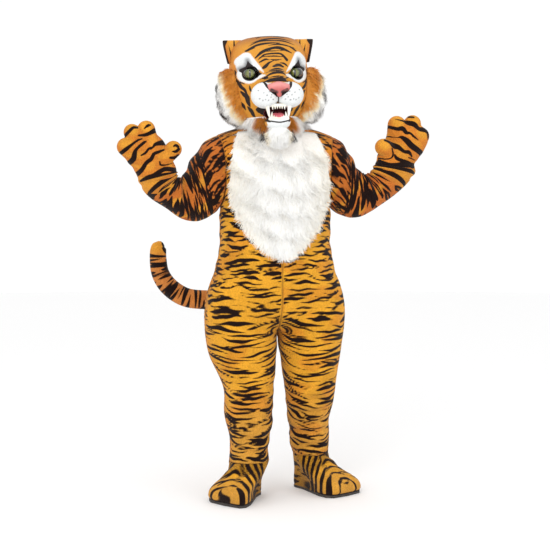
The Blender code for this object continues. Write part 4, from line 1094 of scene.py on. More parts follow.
def build_foot(side):
    name = SIDE_NAMES[side]
    count = 112
    turn = np.arange(count) / count * 2 * math.pi
    flat = foot_outline(side, turn)
    share = np.where(turn <= math.pi, turn / math.pi, 2 - turn / math.pi)
    front = (turn <= math.pi)[:, None]
    hem, high = [
        np.where(front, *[leg_surface(side, np.array(height), share, back) for back in (False, True)])
        for height in (HEM_HEIGHT, FOOT_TOP)
    ]
    heights = np.concatenate([np.linspace(0.0102, 0.03, 8), np.linspace(0.034, HEM_HEIGHT, 32)])
    shares = read_table(FOOT_PROFILE, heights)[:, 0]
    rows = []
    for height, blend in zip(heights, shares):
        place = flat * (1 - blend) + hem[:, :2] * blend
        rows.append(points(place[:, 0], place[:, 1], height))
    centre = hem.mean(axis=0)
    rings = np.array([*rows, high])
    rings[-2:] = centre + (rings[-2:] - centre) * (ANKLE_INSET, ANKLE_INSET, 1)
    normals = outward_normals(rings, True, 10)
    place_x, place_y, direction = FEET[side][:3]
    angle = math.radians(direction)
    forward = (rings[..., 0] - place_x) * side * math.sin(angle) - (rings[..., 1] - place_y) * math.cos(angle)
    sideways = (rings[..., 0] - place_x) * side * math.cos(angle) + (rings[..., 1] - place_y) * math.sin(angle)
    creases = [
        (0.012, 0.0050, (-0.09, 0.045), (0.0, 0.070), (0.09, 0.050)),
        (0.010, 0.0040, (-0.06, 0.100), (0.0, 0.112), (0.06, 0.098)),
        (0.009, 0.0035, (-0.035, 0.225), (-0.038, 0.195), (-0.030, 0.165)),
        (0.009, 0.0035, (0.040, 0.215), (0.038, 0.190), (0.034, 0.162)),
    ]
    relief = crease_depth(sideways, forward, creases) * ramp(rings[..., 2], 0.012, 0.03)
    relief = relief - 0.002 * np.exp(-((rings[..., 2] - 0.014) / 0.005) ** 2)
    surface = rings + normals * relief[..., None]
    scale = 0.205 / FEET[side][3]
    mark = smooth_field(sideways, forward * scale, FOOT_STRIPES)
    heel = stripe_marks(
        np.where(sideways > 0, 1, -1) * (0.3 + forward), rings[..., 2],
        random_stripes(91 + side, (-0.6, 0.6), 0.02, 0.2, 0.024, 0.016, (0.06, 0.12)),
    )
    mark = np.where(forward < 0.005, np.maximum(mark, heel), mark)
    mark = np.maximum(mark, (0.015 - rings[..., 2]) * ramp(forward, 0.10, 0.16))
    tone = blend_colour(ORANGE_SHIN, ORANGE_BODY, ramp(rings[..., 2], 0.03, 0.12))
    foot = shell_object("foot_cover_" + name, surface, normals, 0.004, True, {"tone": tone, "mark": mark}, PLUSH)
    dress(foot, "plush", "foot_" + name)


both(build_foot)


# Tail

def build_tail():
    columns, steps = 48, 12
    line = smooth_rows(TAIL_ROUTE, steps)
    tangent = unit(np.gradient(line[:, :3], axis=0))
    side = unit(np.cross(tangent, np.array((0, 0.35, 1.0))))
    up = np.cross(side, tangent)
    turn = np.arange(columns) / columns * 2 * math.pi
    rings = line[:, None, :3] + line[:, 3][:, None, None] * (
        side[:, None] * np.cos(turn)[None, :, None] + up[:, None] * np.sin(turn)[None, :, None]
    )
    end = line[-1, :3] + tangent[-1] * 0.008
    spokes = rings[-1:] - line[-1, :3]
    rings = np.concatenate([rings, end + spokes * 0.55, end + tangent[-1] * 0.003 + spokes * 0.02])
    along = np.broadcast_to(lengths(rings.mean(axis=1), 0)[:, None], rings.shape[:2])
    across = np.broadcast_to((turn / (2 * math.pi) - 0.5) * 2 * math.pi * 0.04, rings.shape[:2])
    total = along.max()
    drawn = random_stripes(
        53, (-0.16, 0.16), 0.02, total - 0.05, 0.0215, 0.0230, (0.15, 0.28), (0.002, 0.012), 0.0020
    )
    mark = stripe_marks(across, along, drawn)
    tip = [(-0.02, total - 0.060, 0.004), (0.03, total - 0.035, 0.016), (0.06, total - 0.006, 0.020)]
    mark = np.maximum(mark, smooth_field(across, along, [tip]))
    normals = unit(rings - rings.mean(axis=1, keepdims=True))
    rows = len(rings)
    vertices = rings.reshape(-1, 3)
    faces = grid_faces(rows, columns, True)
    cap = np.arange(columns)
    caps = [cap[::-1][None, :], (cap + (rows - 1) * columns)[None, :]]
    test = np.cross(vertices[faces[0, 1]] - vertices[faces[0, 0]], vertices[faces[0, 2]] - vertices[faces[0, 0]])
    if np.dot(test, normals[0, 0]) < 0:
        faces = faces[:, ::-1]
        caps = [group[:, ::-1] for group in caps]
    gold = ramp(along, total - 0.10, total - 0.02).reshape(-1)
    tone = blend_colour(ORANGE_TAIL, ORANGE_GOLD, gold)
    tail = new_mesh("striped_tail", vertices, [faces, *caps], {"tone": tone, "mark": mark.reshape(-1)}, PLUSH)
    dress(tail, "plush", "tail")


build_tail()


# Fur: each blade is a narrowing stretch and a pointed one, of three triangles

def fur(name, slot, roots, normals, flow, length, width, tone, seed, lift=0.45, sway=0.35, lock=0.030):
    random = np.random.default_rng(seed)
    count = len(roots)
    lean = swirl(roots, seed + 1, lock) * sway
    flow = unit(flow)
    first = unit(normals * lift + flow * (1 - lift) + lean * 0.6 + random.normal(size=(count, 3)) * 0.12)
    last = unit(normals * lift * 0.25 + flow + lean + random.normal(size=(count, 3)) * 0.18)
    inward = np.minimum(0, (last * normals).sum(axis=1))[:, None]
    last = unit(last - normals * inward)
    reach = (length * random.uniform(0.65, 1.15, count))[:, None]
    stations = [roots - normals * 0.002]
    stations.append(stations[0] + unit(first * 1.6 + last * 0.4) * reach * 0.52)
    stations.append(stations[1] + unit(first * 0.2 + last) * reach * 0.48)
    side = unit(np.cross(first, normals) + random.normal(size=(count, 3)) * 0.45)
    half = (width * random.uniform(0.7, 1.2, count) / 2)[:, None]
    vertices = np.stack(
        (
            stations[0] - side * half, stations[0] + side * half,
            stations[1] - side * half * 0.90, stations[1] + side * half * 0.90, stations[2],
        ),
        axis=1,
    ).reshape(-1, 3)
    base = (np.arange(count) * 5)[:, None]
    quads = base + np.array((0, 1, 3, 2))
    tips = base + np.array((2, 3, 4))
    shade = random.uniform(0.95, 1.05, count)[:, None]
    coloured = np.repeat(np.clip(np.asarray(tone) * shade, 0, 1), 5, axis=0)
    along = np.tile(np.array((0, 0, 0.52, 0.52, 1.0)), count)
    thing = new_mesh(name, vertices, [quads, tips], {"tone": coloured, "along": along}, FUR)
    dress(thing, slot)
    return thing


def scatter(grid, normals, count, random, wrap=False, weight=None):
    """Places spread evenly over a grid: points, normals and their fractional row and column."""
    if wrap:
        grid = np.concatenate([grid, grid[:, :1]], axis=1)
        normals = np.concatenate([normals, normals[:, :1]], axis=1)
    corner = grid[:-1, :-1]
    area = np.linalg.norm(np.cross(grid[1:, :-1] - corner, grid[:-1, 1:] - corner), axis=-1)
    if weight is not None:
        area = area * weight
    chance = area.ravel() / area.sum()
    cell = random.choice(len(chance), count, p=chance)
    row, column = np.unravel_index(cell, area.shape)
    a, b = random.uniform(size=(2, count))

    def at(values):
        a1, b1 = a[:, None], b[:, None]
        return (
            values[row, column] * (1 - a1) * (1 - b1) + values[row + 1, column] * a1 * (1 - b1)
            + values[row, column + 1] * (1 - a1) * b1 + values[row + 1, column + 1] * a1 * b1
        )

    return at(grid), unit(at(normals)), row + a, column + b


def fur_material(name):
    made = Nodes(name)
    tone = made.attribute("tone", "Color")
    along = made.attribute("along")
    streak = made.noise(700, 2, 0.6)
    # Painted shade: each blade darkens a little towards its root, where the blades around it shade it; the streak
    # noise varies the tone at random.
    coloured = made.lit(tone, made.span(along, 0, 0.7, 0.95, 1.0), made.span(streak, 0.3, 0.7, 0.96, 1.05))
    relief = made.bump(streak, 0.0006, 0.3)
    return made.finish(
        Base_Color=coloured, Roughness=0.62, Normal=relief, Sheen_Weight=0.2, Sheen_Roughness=0.4,
        Specular_IOR_Level=0.3, Subsurface_Weight=0.0,
    )


FUR = fur_material("long_fur")
WHITE = srgb(255, 254, 251)
CREAM = srgb(247, 226, 180)
GREY = srgb(120, 118, 122)
DARK = srgb(42, 32, 30)
RUFF_ORANGE = srgb(212, 136, 44)


# Bib: height, half width

BIB = (
    (0.965, 0.008), (1.010, 0.070), (1.060, 0.118), (1.120, 0.160), (1.190, 0.186),
    (1.260, 0.200), (1.330, 0.196), (1.395, 0.178), (1.440, 0.158),
)
BIB_BLADES = 23000
BIB_LIFT = 0.004
BIB_SWELL = 0.007


def build_bib():
    (_, right, normals_right), (_, left, normals_left) = [PANELS[side, False] for side in SIDES]
    first = int(np.argmax(right[:, 0, 2] > BIB[0][0]))
    last = len(right) - 5
    columns = np.linspace(0, 1, 30)
    rows, facing = [], []
    for index in range(first, last, 2):
        half = float(read_table(BIB, min(right[index, 0, 2], BIB[-1][0]))[0])
        line, turned = [], []
        for side, surface, normal in ((-1, right, normals_right), (1, left, normals_left)):
            reach = np.abs(surface[index, :, 0])
            wanted = columns * half
            row = np.stack([np.interp(wanted, reach, surface[index, :, axis]) for axis in range(3)], axis=-1)
            row[:, 0] = side * wanted
            out = np.stack([np.interp(wanted, reach, normal[index, :, axis]) for axis in range(3)], axis=-1)
            line.append(row)
            turned.append(out)
        rows.append(np.concatenate([line[0][:0:-1], line[1]]))
        facing.append(unit(np.concatenate([turned[0][:0:-1], turned[1]])))
    grid, normals = np.array(rows), np.array(facing)
    across = np.linspace(-1, 1, grid.shape[1])[None, :]
    up = np.linspace(-1, 1, len(grid))[:, None]
    rim = (1 - across**4) * (1 - up**6)
    outer = grid + normals * (BIB_LIFT + BIB_SWELL * rim)[..., None]
    tone = np.broadcast_to(WHITE, outer.shape)
    mark = np.full(outer.shape[:2], UNMARKED)
    bib = shell_object("bib_backing", outer, normals, CLOTH, False, {"tone": tone, "mark": mark}, PILE_WHITE)
    dress(bib, "white_fur", "belly_fur")
    random = np.random.default_rng(5)
    roots, out, row, column = scatter(outer, normals, BIB_BLADES, random)
    side = column / (grid.shape[1] - 1) * 2 - 1
    flow = points(side * 0.55, np.full_like(side, -0.10), np.full_like(side, -1.0))
    edge = np.abs(side) ** 3
    length = 0.030 + 0.008 * random.uniform(size=len(roots)) - 0.006 * edge
    tone = blend_colour(WHITE, CREAM, edge * random.uniform(0, 0.45, len(roots)))
    pile = fur("bib_pile", "white_fur", roots, out, flow, length, 0.0019, tone, 61, 0.30, 0.45, 0.045)


def pile_material(name, first, second, scale=260):
    """Short even pile, for what lies under long fur."""
    made = Nodes(name)
    fine = made.noise(900, 3, 0.7)
    clump = made.noise(scale, 3, 0.6)
    tone = made.mix(made.span(clump, 0.3, 0.7), (*first, 1), (*second, 1))
    relief = made.bump(clump, 0.003, 0.6, made.bump(fine, 0.001, 0.6))
    return made.finish(Base_Color=tone, Roughness=0.85, Normal=relief, Sheen_Weight=0.25)


PILE_WHITE = pile_material("white_pile", srgb(232, 228, 220), srgb(250, 248, 244))
build_bib()


# Head: height, half width, depth in front, depth behind

HEAD = (
    (1.548, 0.116, 0.118, 0.118),
    (1.585, 0.146, 0.140, 0.150),
    (1.635, 0.160, 0.156, 0.168),
    (1.690, 0.164, 0.161, 0.176),
    (1.740, 0.162, 0.159, 0.176),
    (1.785, 0.157, 0.152, 0.169),
    (1.825, 0.148, 0.139, 0.156),
    (1.852, 0.132, 0.119, 0.136),
    (1.869, 0.106, 0.092, 0.109),
    (1.877, 0.070, 0.058, 0.072),
    (1.880, 0.010, 0.008, 0.010),
)
HEAD_BOTTOM = 1.548
HEAD_TOP = 1.880
HEAD_WALL = 0.010
HEAD_STEP = 0.0036
# Rounded forms of the head, for the left side: centre x, y, z, then half sizes
PUFF = (0.050, -0.185, 1.625, 0.056, 0.052, 0.052)
BRIDGE = (0.000, -0.160, 1.690, 0.042, 0.060, 0.056)
JAW = (0.000, -0.172, 1.518, 0.052, 0.046, 0.030)
CHIN_FUR = (0.000, -0.183, 1.468, 0.052, 0.036, 0.042)
EYE = (0.090, -0.112, 1.7205, 0.032, 0.030, 0.024)
RUFF = (0.128, -0.014, 1.645, 0.100, 0.078, 0.122)
RUFF_ROUNDING = 0.85
RUFF_POWER = 2 / RUFF_ROUNDING
RUFF_TRIM = {-1: 0.55, 1: 0.0}
RUFF_TRIES, RUFF_BLADES = 30000, 17000
CHIN_TRIES, CHIN_BLADES = 14000, 7600
SKIRT_BLADES = 12000


def head_placed(place):
    """From the head's own frame to where the head is worn."""
    return head_turned(place - np.array((0, 0, HEAD_PLACE[2]))) + np.array(HEAD_PLACE)


def head_turned(vectors):
    made = np.array(vectors, float)
    made[..., 0] = vectors[..., 0] * math.cos(HEAD_ROLL) + vectors[..., 2] * math.sin(HEAD_ROLL)
    made[..., 2] = vectors[..., 2] * math.cos(HEAD_ROLL) - vectors[..., 0] * math.sin(HEAD_ROLL)
    return made


def head_form(name, slot, nodes, field, low, high, step, material, paint=None):
    """A closed form in the head's own frame, from its distance function; paint gives the attributes."""
    vertices, faces = surface_net(field, low, high, step)
    thing = new_mesh(name, head_placed(vertices), faces, paint(vertices) if paint else {}, material)
    return dress(thing, slot, *nodes)


def skull_field(x, y, z):
    values = read_table(HEAD, np.clip(z, HEAD_BOTTOM, HEAD_TOP))
    depth = np.where(y < 0, values[..., 1], values[..., 2])
    ratio = np.sqrt((x / values[..., 0]) ** 2 + (y / depth) ** 2)
    sideways = (ratio - 1) * np.minimum(values[..., 0], depth)
    sloped = sideways * (1 - 0.75 * ramp(z, 1.82, 1.875))
    return np.maximum(sloped, z - HEAD_TOP)


def form_field(x, y, z, form, mirror=1, grow=0.0):
    return ellipsoid_field(x, y, z, (form[0] * mirror, form[1], form[2]), [r + grow for r in form[3:]])


def face_field(x, y, z):
    """The whole outside of the head: skull, brows, muzzle, jaw and the cut of the mouth."""
    skull = skull_field(x, y, z)
    low = HEAD_BOTTOM - z
    inner = skull + HEAD_WALL
    skull = np.maximum(np.maximum(skull, -inner), low)
    brows = cheeks = puffs = None
    for side in SIDES:
        brow = capsule_field(x, y, z, (side * 0.052, -0.140, 1.733), (side * 0.108, -0.104, 1.768), 0.015, 0.014)
        cheek = capsule_field(x, y, z, (side * 0.060, -0.135, 1.684), (side * 0.118, -0.092, 1.672), 0.014, 0.012)
        puff = form_field(x, y, z, PUFF, side)
        brows = brow if brows is None else np.minimum(brows, brow)
        cheeks = cheek if cheeks is None else np.minimum(cheeks, cheek)
        puffs = puff if puffs is None else soft_union(puffs, puff, 0.006)
    bridge = form_field(x, y, z, BRIDGE)
    made = soft_union(skull, brows, 0.018)
    made = soft_union(made, cheeks, 0.020)
    made = soft_union(made, bridge, 0.022)
    made = soft_union(made, puffs, 0.007)
    jaw = form_field(x, y, z, JAW)
    made = soft_union(made, jaw, 0.010)
    for side in SIDES:
        socket = ellipsoid_field(x, y, z, (side * 0.088, -0.122, 1.7195), (0.0345, 0.034, 0.0255))
        made = soft_cut(made, socket, 0.003)
    mouth = ellipsoid_field(x, y, z, (0.0, -0.185, 1.554), (0.054, 0.060, 0.029))
    return soft_cut(made, mouth, 0.004)


# Painted strokes of the face: place across, height, half thickness; those round the eyes are for the left one
EYE_SURROUND = metres((
    ((970, 17180, 290), (960, 17200, 295)),
    ((850, 17170, 230), (700, 17150, 100), (520, 17130, 5)),
    ((1000, 17300, 200), (1280, 17360, 70)),
    ((980, 17380, 170), (1010, 17550, 70), (1040, 17720, 3)),
), TENTHS)
EYE_WHITE = metres((
    ((1080, 17830, 225), (1260, 17720, 220)),
    ((1000, 17800, 170), (470, 17200, 20)),
    ((1120, 17570, 320), (1100, 17450, 320)),
    ((1000, 17160, 370), (1080, 17190, 350)),
    ((850, 17060, 200), (440, 17060, 30)),
), TENTHS)
FOREHEAD = metres((
    ((-850, 18420, 5), (-300, 18560, 22), (300, 18580, 22), (850, 18460, 5)),
    ((-600, 18680, 5), (0, 18740, 22), (600, 18680, 5)),
    ((-1100, 18120, 10), (-600, 18320, 34), (-100, 18380, 24), (300, 18380, 8)),
    ((-200, 18280, 6), (300, 18320, 26), (950, 18180, 10)),
    ((-740, 17790, 20), (-450, 18020, 46), (-50, 18160, 38), (300, 18160, 50), (760, 17970, 15)),
    ((-550, 17760, 10), (-400, 17900, 22), (0, 17940, 26), (300, 17910, 30), (520, 17680, 45)),
    ((-480, 17820, 10), (0, 17830, 22), (360, 17800, 10)),
    ((-600, 17600, 20), (-360, 17710, 30), (-200, 17680, 10)),
    ((-520, 17340, 30), (-380, 17420, 50), (-220, 17570, 30), (-60, 17620, 10)),
    ((-100, 17380, 35), (140, 17450, 58), (340, 17390, 25)),
    ((-200, 17710, 8), (40, 17670, 24), (300, 17700, 8)),
    ((-300, 17220, 8), (0, 17270, 28), (340, 17220, 10)),
    ((-400, 17000, 15), (-180, 17090, 36), (180, 17100, 36), (400, 17010, 10)),
    ((-440, 16790, 30), (-200, 16855, 30), (200, 16855, 40), (440, 16790, 30)),
    ((-640, 16930, 12), (-500, 16980, 40), (-380, 16940, 30)),
    ((640, 16930, 8), (520, 16970, 20), (400, 16920, 20)),
    ((-950, 18300, 6), (-500, 18480, 24), (100, 18490, 18), (500, 18460, 24), (950, 18320, 6)),
    ((-1180, 17960, 6), (-1000, 18120, 26), (-700, 18220, 10)),
    ((620, 18260, 8), (900, 18120, 26), (1120, 17940, 8)),
    ((-560, 18030, 6), (-100, 18040, 16), (500, 18060, 6)),
    ((-660, 17680, 6), (-520, 17810, 22), (-300, 17840, 6)),
    ((200, 17560, 6), (400, 17520, 30), (560, 17360, 10)),
    ((-400, 17160, 8), (0, 17190, 20), (400, 17140, 6)),
    ((-460, 16900, 8), (0, 16960, 18), (440, 16900, 6)),
), TENTHS)
CHEEK_MARKS = metres((
    ((1580, 17420, 8), (1500, 17160, 36), (1390, 16970, 8)),
    ((1600, 17140, 10), (1500, 16900, 40), (1330, 16680, 10)),
    ((1500, 16860, 8), (1400, 16680, 32), (1260, 16520, 8)),
    ((1400, 16520, 20), (1240, 16340, 50), (1080, 16180, 8)),
    ((1240, 16260, 15), (1120, 16060, 48), (1040, 15880, 10)),
    ((1160, 15920, 10), (1000, 15740, 46), (860, 15580, 15)),
    ((1080, 16720, 8), (1040, 16550, 28), (980, 16450, 6)),
    ((1500, 17040, 8), (1380, 16900, 32), (1260, 16780, 8)),
    ((1400, 16760, 8), (1260, 16560, 36), (1160, 16400, 8)),
    ((1240, 16480, 8), (1130, 16280, 34), (1060, 16100, 8)),
    ((1400, 16120, 8), (1300, 15960, 36), (1200, 15780, 8)),
    ((1040, 15760, 8), (920, 15600, 36), (780, 15440, 10)),
), TENTHS)
MOUTH_MARKS = metres((
    ((-660, 15740, 120), (-600, 15500, 120), (-500, 15300, 70), (-370, 15190, 30)),
    ((640, 15760, 100), (600, 15500, 100), (500, 15300, 60), (400, 15190, 30)),
    ((-400, 15220, 28), (0, 15150, 30), (400, 15220, 28)),
), TENTHS)
NOSE_OUTLINE = metres((
    ((0, 16180, 26), (10, 16000, 22), (10, 15820, 26)),
    ((-580, 16780, 30), (-300, 16800, 50), (300, 16800, 50), (580, 16780, 30)),
    ((-560, 16780, 40), (-470, 16570, 65), (-310, 16370, 65), (-70, 16190, 50)),
    ((560, 16780, 40), (470, 16570, 65), (310, 16370, 65), (70, 16190, 50)),
), TENTHS)
FOREHEAD_WEIGHT = 1.35
CHEEK_INSET = 0.94
CHEEK_WEIGHT = 1.4
CROWN_HEIGHT = 1.862
WHISKER_DOTS = (
    (0.024, 1.604), (0.034, 1.612), (0.044, 1.601), (0.056, 1.604), (0.066, 1.601), (0.078, 1.608),
    (0.030, 1.622), (0.050, 1.620), (0.062, 1.630), (0.082, 1.640), (0.040, 1.634),
)


def scaled(strokes, across, weight):
    return [[(across * a, b, half * weight) for a, b, half in stroke] for stroke in strokes]


def face_paint(place):
    """Colour and black marks of the head, at places in its own frame."""
    x, y, z = place[:, 0], place[:, 1], place[:, 2]
    front = y < 0.03
    white = stroke_field(np.abs(x), z, EYE_WHITE)
    puffs = np.maximum(*[0.004 - form_field(x, y, z, PUFF, s) for s in SIDES])
    puffs = np.where((z > 1.672) & (np.abs(x) < 0.042), -0.01, puffs)
    chin = np.minimum(0.045 + 0.10 * np.maximum(0, 1.50 - z) - np.abs(x), 1.532 - z)
    chin = np.where(y < -0.10, chin, -0.05)
    lip = np.where(y < -0.19, np.minimum(1.547 - z, 0.052 - np.abs(x)), -0.05)
    white = np.where(front, np.maximum.reduce([white, puffs, chin, lip]), -0.05)
    tone = blend_colour(HEAD_ORANGE, RUFF_ORANGE, ramp(np.abs(x), 0.10, 0.16))
    tone = blend_colour(tone, srgb(164, 100, 48), ramp(z, 1.822, 1.870) * 0.8)
    tone = blend_colour(tone, srgb(232, 235, 235), ramp(white, -0.0016, 0.0016))
    surround = stroke_field(np.abs(x), z, EYE_SURROUND)
    soft = ramp(surround, -0.020, 0.001) * ramp(z, 1.728, 1.745) * ramp(np.abs(x), 0.080, 0.10) * front
    tone = blend_colour(tone, srgb(60, 62, 68), soft * 0.75)
    dots = np.full(len(place), -1.0)
    for a, b in WHISKER_DOTS:
        dots = np.maximum(dots, 0.0030 - np.hypot(np.abs(x) - a, z - b))
    tone = blend_colour(tone, srgb(112, 110, 112), ramp(dots, -0.0008, 0.0012) * (y < -0.19) * 0.85)
    marks = scaled(FOREHEAD, 1, FOREHEAD_WEIGHT)
    for side in SIDES:
        marks += scaled(CHEEK_MARKS, side * CHEEK_INSET, CHEEK_WEIGHT)
    mark = smooth_field(x, z, marks)
    mark = np.where(white > -0.001, np.minimum(mark, -0.01), mark)
    for side in SIDES:
        mark = np.maximum(mark, smooth_field(x, z, scaled(EYE_SURROUND, side, 1)))
    mouth = smooth_field(x, z, MOUTH_MARKS)
    hollow = (1 - np.hypot(x / 0.070, (z - 1.555) / 0.040)) * 0.03
    hollow = np.minimum(hollow, z - np.where(y < -0.19, 1.547, 1.528))
    mouth = np.minimum(np.maximum(mouth, hollow), 0.0035 - puffs)
    mouth = np.where(y < -0.11, np.maximum(mouth, stroke_field(x, z, NOSE_OUTLINE)), -0.02)
    mark = np.maximum(mark, mouth)
    around = np.where(x < 0, -1, 1) * np.arctan2(np.abs(x), -y) * 0.16
    behind = random_stripes(17, (-0.52, 0.52), 1.56, 1.875, 0.0185, 0.0150, (0.07, 0.15))
    above = random_stripes(19, (-0.17, 0.17), -0.17, 0.19, 0.0190, 0.0130, (0.06, 0.13), (-0.004, 0.024))
    crown = np.maximum(stripe_marks(x, y, above), np.where(front, mark, -0.02))
    covered = np.where(front, mark, stripe_marks(around, z, behind))
    return {"tone": tone, "mark": np.where(z > CROWN_HEIGHT, crown, covered)}


def build_head():
    nodes = ("head_face", "head_back", "muzzle", "jaw")
    low, high = (-0.176, -0.252, 1.480), (0.176, 0.186, 1.888)
    skin = head_form("head_skin", "plush", nodes, face_field, low, high, HEAD_STEP, SKIN, face_paint)


def skin_material(name):
    """The head's close velvet, smoother than the suit's plush."""
    made = Nodes(name)
    tone = made.attribute("tone", "Color")
    pile = made.noise(1500, 3, 0.65)
    clump = made.noise(300, 3, 0.6)
    base = made.lit(tone, made.span(clump, 0.3, 0.7, 0.92, 1.05), made.span(pile, 0.3, 0.75, 0.90, 1.05))
    coloured = made.striped(base, 600, 0.0032, -0.0007, 0.0008)
    relief = made.bump(pile, 0.0007, 0.6)
    return made.finish(Base_Color=coloured, Roughness=0.78, Normal=relief, Sheen_Weight=0.04, Sheen_Roughness=0.4)


SKIN = skin_material("head_velvet")
build_head()


# Eyes

IRIS = 0.0198
PUPIL_HALF_WIDTH = 0.0044
PUPIL_HALF_HEIGHT = 0.0160
EYE_LOOK = {-1: (-0.0985, 1.7180), 1: (0.0840, 1.7170)}


def eye_material(name):
    made = Nodes(name)
    tone = made.attribute("tone", "Color")
    return made.finish(
        Base_Color=tone, Roughness=made.span(made.noise(900), 0.3, 0.7, 0.05, 0.10), Coat_Weight=1.0,
        Coat_Roughness=0.03, Specular_IOR_Level=0.6,
    )


EYE_GLASS = eye_material("eye_glass")


def build_eye(side):
    x0, y0, z0, across, along, upright = EYE
    rings, columns = 56, 96
    polar = np.linspace(0, math.pi * 0.62, rings)
    turn = np.arange(columns) / columns * 2 * math.pi
    px = np.sin(polar)[:, None] * np.cos(turn)[None, :]
    pz = np.sin(polar)[:, None] * np.sin(turn)[None, :]
    py = -np.cos(polar)[:, None] + 0 * px
    grid = points(side * x0 + px * across, y0 + py * along, z0 + pz * upright)
    flat = grid.reshape(-1, 3)
    look_x, look_z = EYE_LOOK[side]
    dx, dz = flat[:, 0] - look_x, flat[:, 2] - look_z
    away = np.hypot(dx, dz)
    spoke = np.arctan2(dz, dx)
    streaks = 0.5 + 0.5 * np.sin(spoke * 34 + 2.0 * np.sin(spoke * 5)) * np.sin(spoke * 13 + 1.3)
    inner = blend_colour(srgb(126, 128, 58), srgb(66, 80, 28), ramp(away, IRIS * 0.35, IRIS * 0.95))
    inner = inner * (0.80 + 0.30 * streaks)[:, None]
    rimmed = blend_colour(inner, srgb(28, 34, 14), ramp(away, IRIS * 0.84, IRIS * 0.98))
    tone = blend_colour(rimmed, srgb(8, 7, 7), ramp(away, IRIS * 0.97, IRIS * 1.03))
    slit = np.abs(dx) / (PUPIL_HALF_WIDTH * np.sqrt(np.maximum(0.02, 1 - (dz / PUPIL_HALF_HEIGHT) ** 2)))
    pupil = (1 - ramp(slit, 0.85, 1.1)) * (np.abs(dz) < PUPIL_HALF_HEIGHT)
    tone = blend_colour(tone, srgb(6, 6, 6), pupil)
    faces = grid_faces(rings, columns, True)
    cap = np.arange(columns)[None, :] + (rings - 1) * columns
    test = np.cross(flat[faces[-1, 1]] - flat[faces[-1, 0]], flat[faces[-1, 2]] - flat[faces[-1, 0]])
    outward = flat[faces[-1, 0]] - np.array((side * x0, y0, z0))
    if np.dot(test, outward) < 0:
        faces = faces[:, ::-1]
    name = SIDE_NAMES[side]
    eye = new_mesh("eye_dome_" + name, head_placed(flat), [faces, cap], {"tone": tone}, EYE_GLASS)
    dress(eye, "eye", "eye_" + name)


both(build_eye)


# Nose, mouth, teeth and tongue

def moulded_material(name, first, second, roughness, scale=240, bump=0.0006, coat=0.0):
    made = Nodes(name)
    mottle = made.noise(scale, 3, 0.6)
    broad = made.noise(40, 2, 0.5)
    tone = made.mix(made.span(broad, 0.35, 0.65), (*first, 1), (*second, 1))
    relief = made.bump(mottle, bump, 0.7)
    rough = made.span(mottle, 0.3, 0.7, roughness * 0.85, roughness * 1.15)
    return made.finish(Base_Color=tone, Roughness=rough, Normal=relief, Coat_Weight=coat, Coat_Roughness=0.25)


def nose_material(name):
    made = Nodes(name)
    mottle = made.span(made.noise(60, 3, 0.6), 0.3, 0.7, 0.0, 0.25)
    return made.finish(
        Base_Color=made.mix(mottle, made.attribute("tone", "Color"), (*srgb(214, 120, 116), 1)),
        Roughness=made.span(made.noise(300, 2, 0.6), 0.3, 0.7, 0.30, 0.45),
        Normal=made.bump(made.add("TexVoronoi", Scale=520.0).outputs["Distance"], 0.0007, 0.5),
        Coat_Weight=0.3, Coat_Roughness=0.3,
    )


NOSE_SKIN = nose_material("nose_skin")
MOUTH_RED = moulded_material("mouth_red", srgb(96, 8, 12), srgb(60, 4, 8), 0.45, coat=0.3)
TONGUE_PINK = moulded_material("tongue_pink", srgb(226, 122, 128), srgb(205, 92, 104), 0.42, 700, 0.0009, 0.2)
ENAMEL = moulded_material("tooth", srgb(250, 248, 240), srgb(238, 232, 214), 0.28, 160, 0.0003, 0.4)


def nose_field(x, y, z):
    top = ellipsoid_field(x, y, z, (0.0, -0.213, 1.6565), (0.049, 0.028, 0.0150))
    body = capsule_field(x, y, z, (0.0, -0.222, 1.649), (0.0, -0.232, 1.6215), 0.024, 0.0090)
    made = soft_union(top, body, 0.012)
    for side in SIDES:
        wing = ellipsoid_field(x, y, z, (side * 0.028, -0.220, 1.645), (0.019, 0.020, 0.014))
        made = soft_union(made, wing, 0.008)
    for side in SIDES:
        hole = capsule_field(x, y, z, (side * 0.012, -0.250, 1.632), (side * 0.030, -0.238, 1.641), 0.0048, 0.0038)
        made = soft_cut(made, hole, 0.003)
    return made


def nose_paint(place):
    x, z = place[:, 0], place[:, 2]
    tone = blend_colour(srgb(190, 84, 80), srgb(232, 150, 146), ramp(z, 1.636, 1.664))
    holes = stroke_field(np.abs(x), z, [((0.010, 1.631, 0.0046), (0.032, 1.641, 0.0040))])
    return {"tone": blend_colour(tone, srgb(30, 8, 8), ramp(holes, -0.003, 0.001))}


def lining_field(x, y, z):
    bowl = ellipsoid_field(x, y, z, (0.0, -0.170, 1.555), (0.0555, 0.046, 0.0300))
    return np.maximum(np.maximum(bowl, -(bowl + 0.0025)), -0.166 - y)


def tongue_field(x, y, z):
    curl = 0.010 * ramp(-y, 0.165, 0.21)
    body = ellipsoid_field(x, y, z + curl, (0.0, -0.176, 1.5485), (0.026, 0.034, 0.0095))
    groove = capsule_field(x, y, z + curl, (0.0, -0.215, 1.5610), (0.0, -0.150, 1.5600), 0.0035)
    return soft_cut(body, groove, 0.004)


# Small teeth: place across, reach
INCISORS = ((-0.024, 0.012), (-0.014, 0.010), (-0.005, 0.009), (0.005, 0.009), (0.014, 0.010), (0.024, 0.012))
LOWER_TEETH = ((-0.020, 0.007), (-0.010, 0.005), (0.000, 0.005), (0.010, 0.005), (0.020, 0.007))


def teeth_field(x, y, z, gum, fang, fang_blend, small):
    """A gum line with a fang at each end, and small teeth between."""
    half, depth, height, radius = gum
    made = capsule_field(x, y, z, (-half, depth, height), (half, depth, height), radius)
    (root_x, *root), (tip_x, *tip), *radii = fang
    for side in SIDES:
        one = capsule_field(x, y, z, (side * root_x, *root), (side * tip_x, *tip), *radii)
        made = soft_union(made, one, fang_blend)
    for root, tip, *radii in small:
        made = soft_union(made, capsule_field(x, y, z, root, tip, *radii), 0.001)
    return made


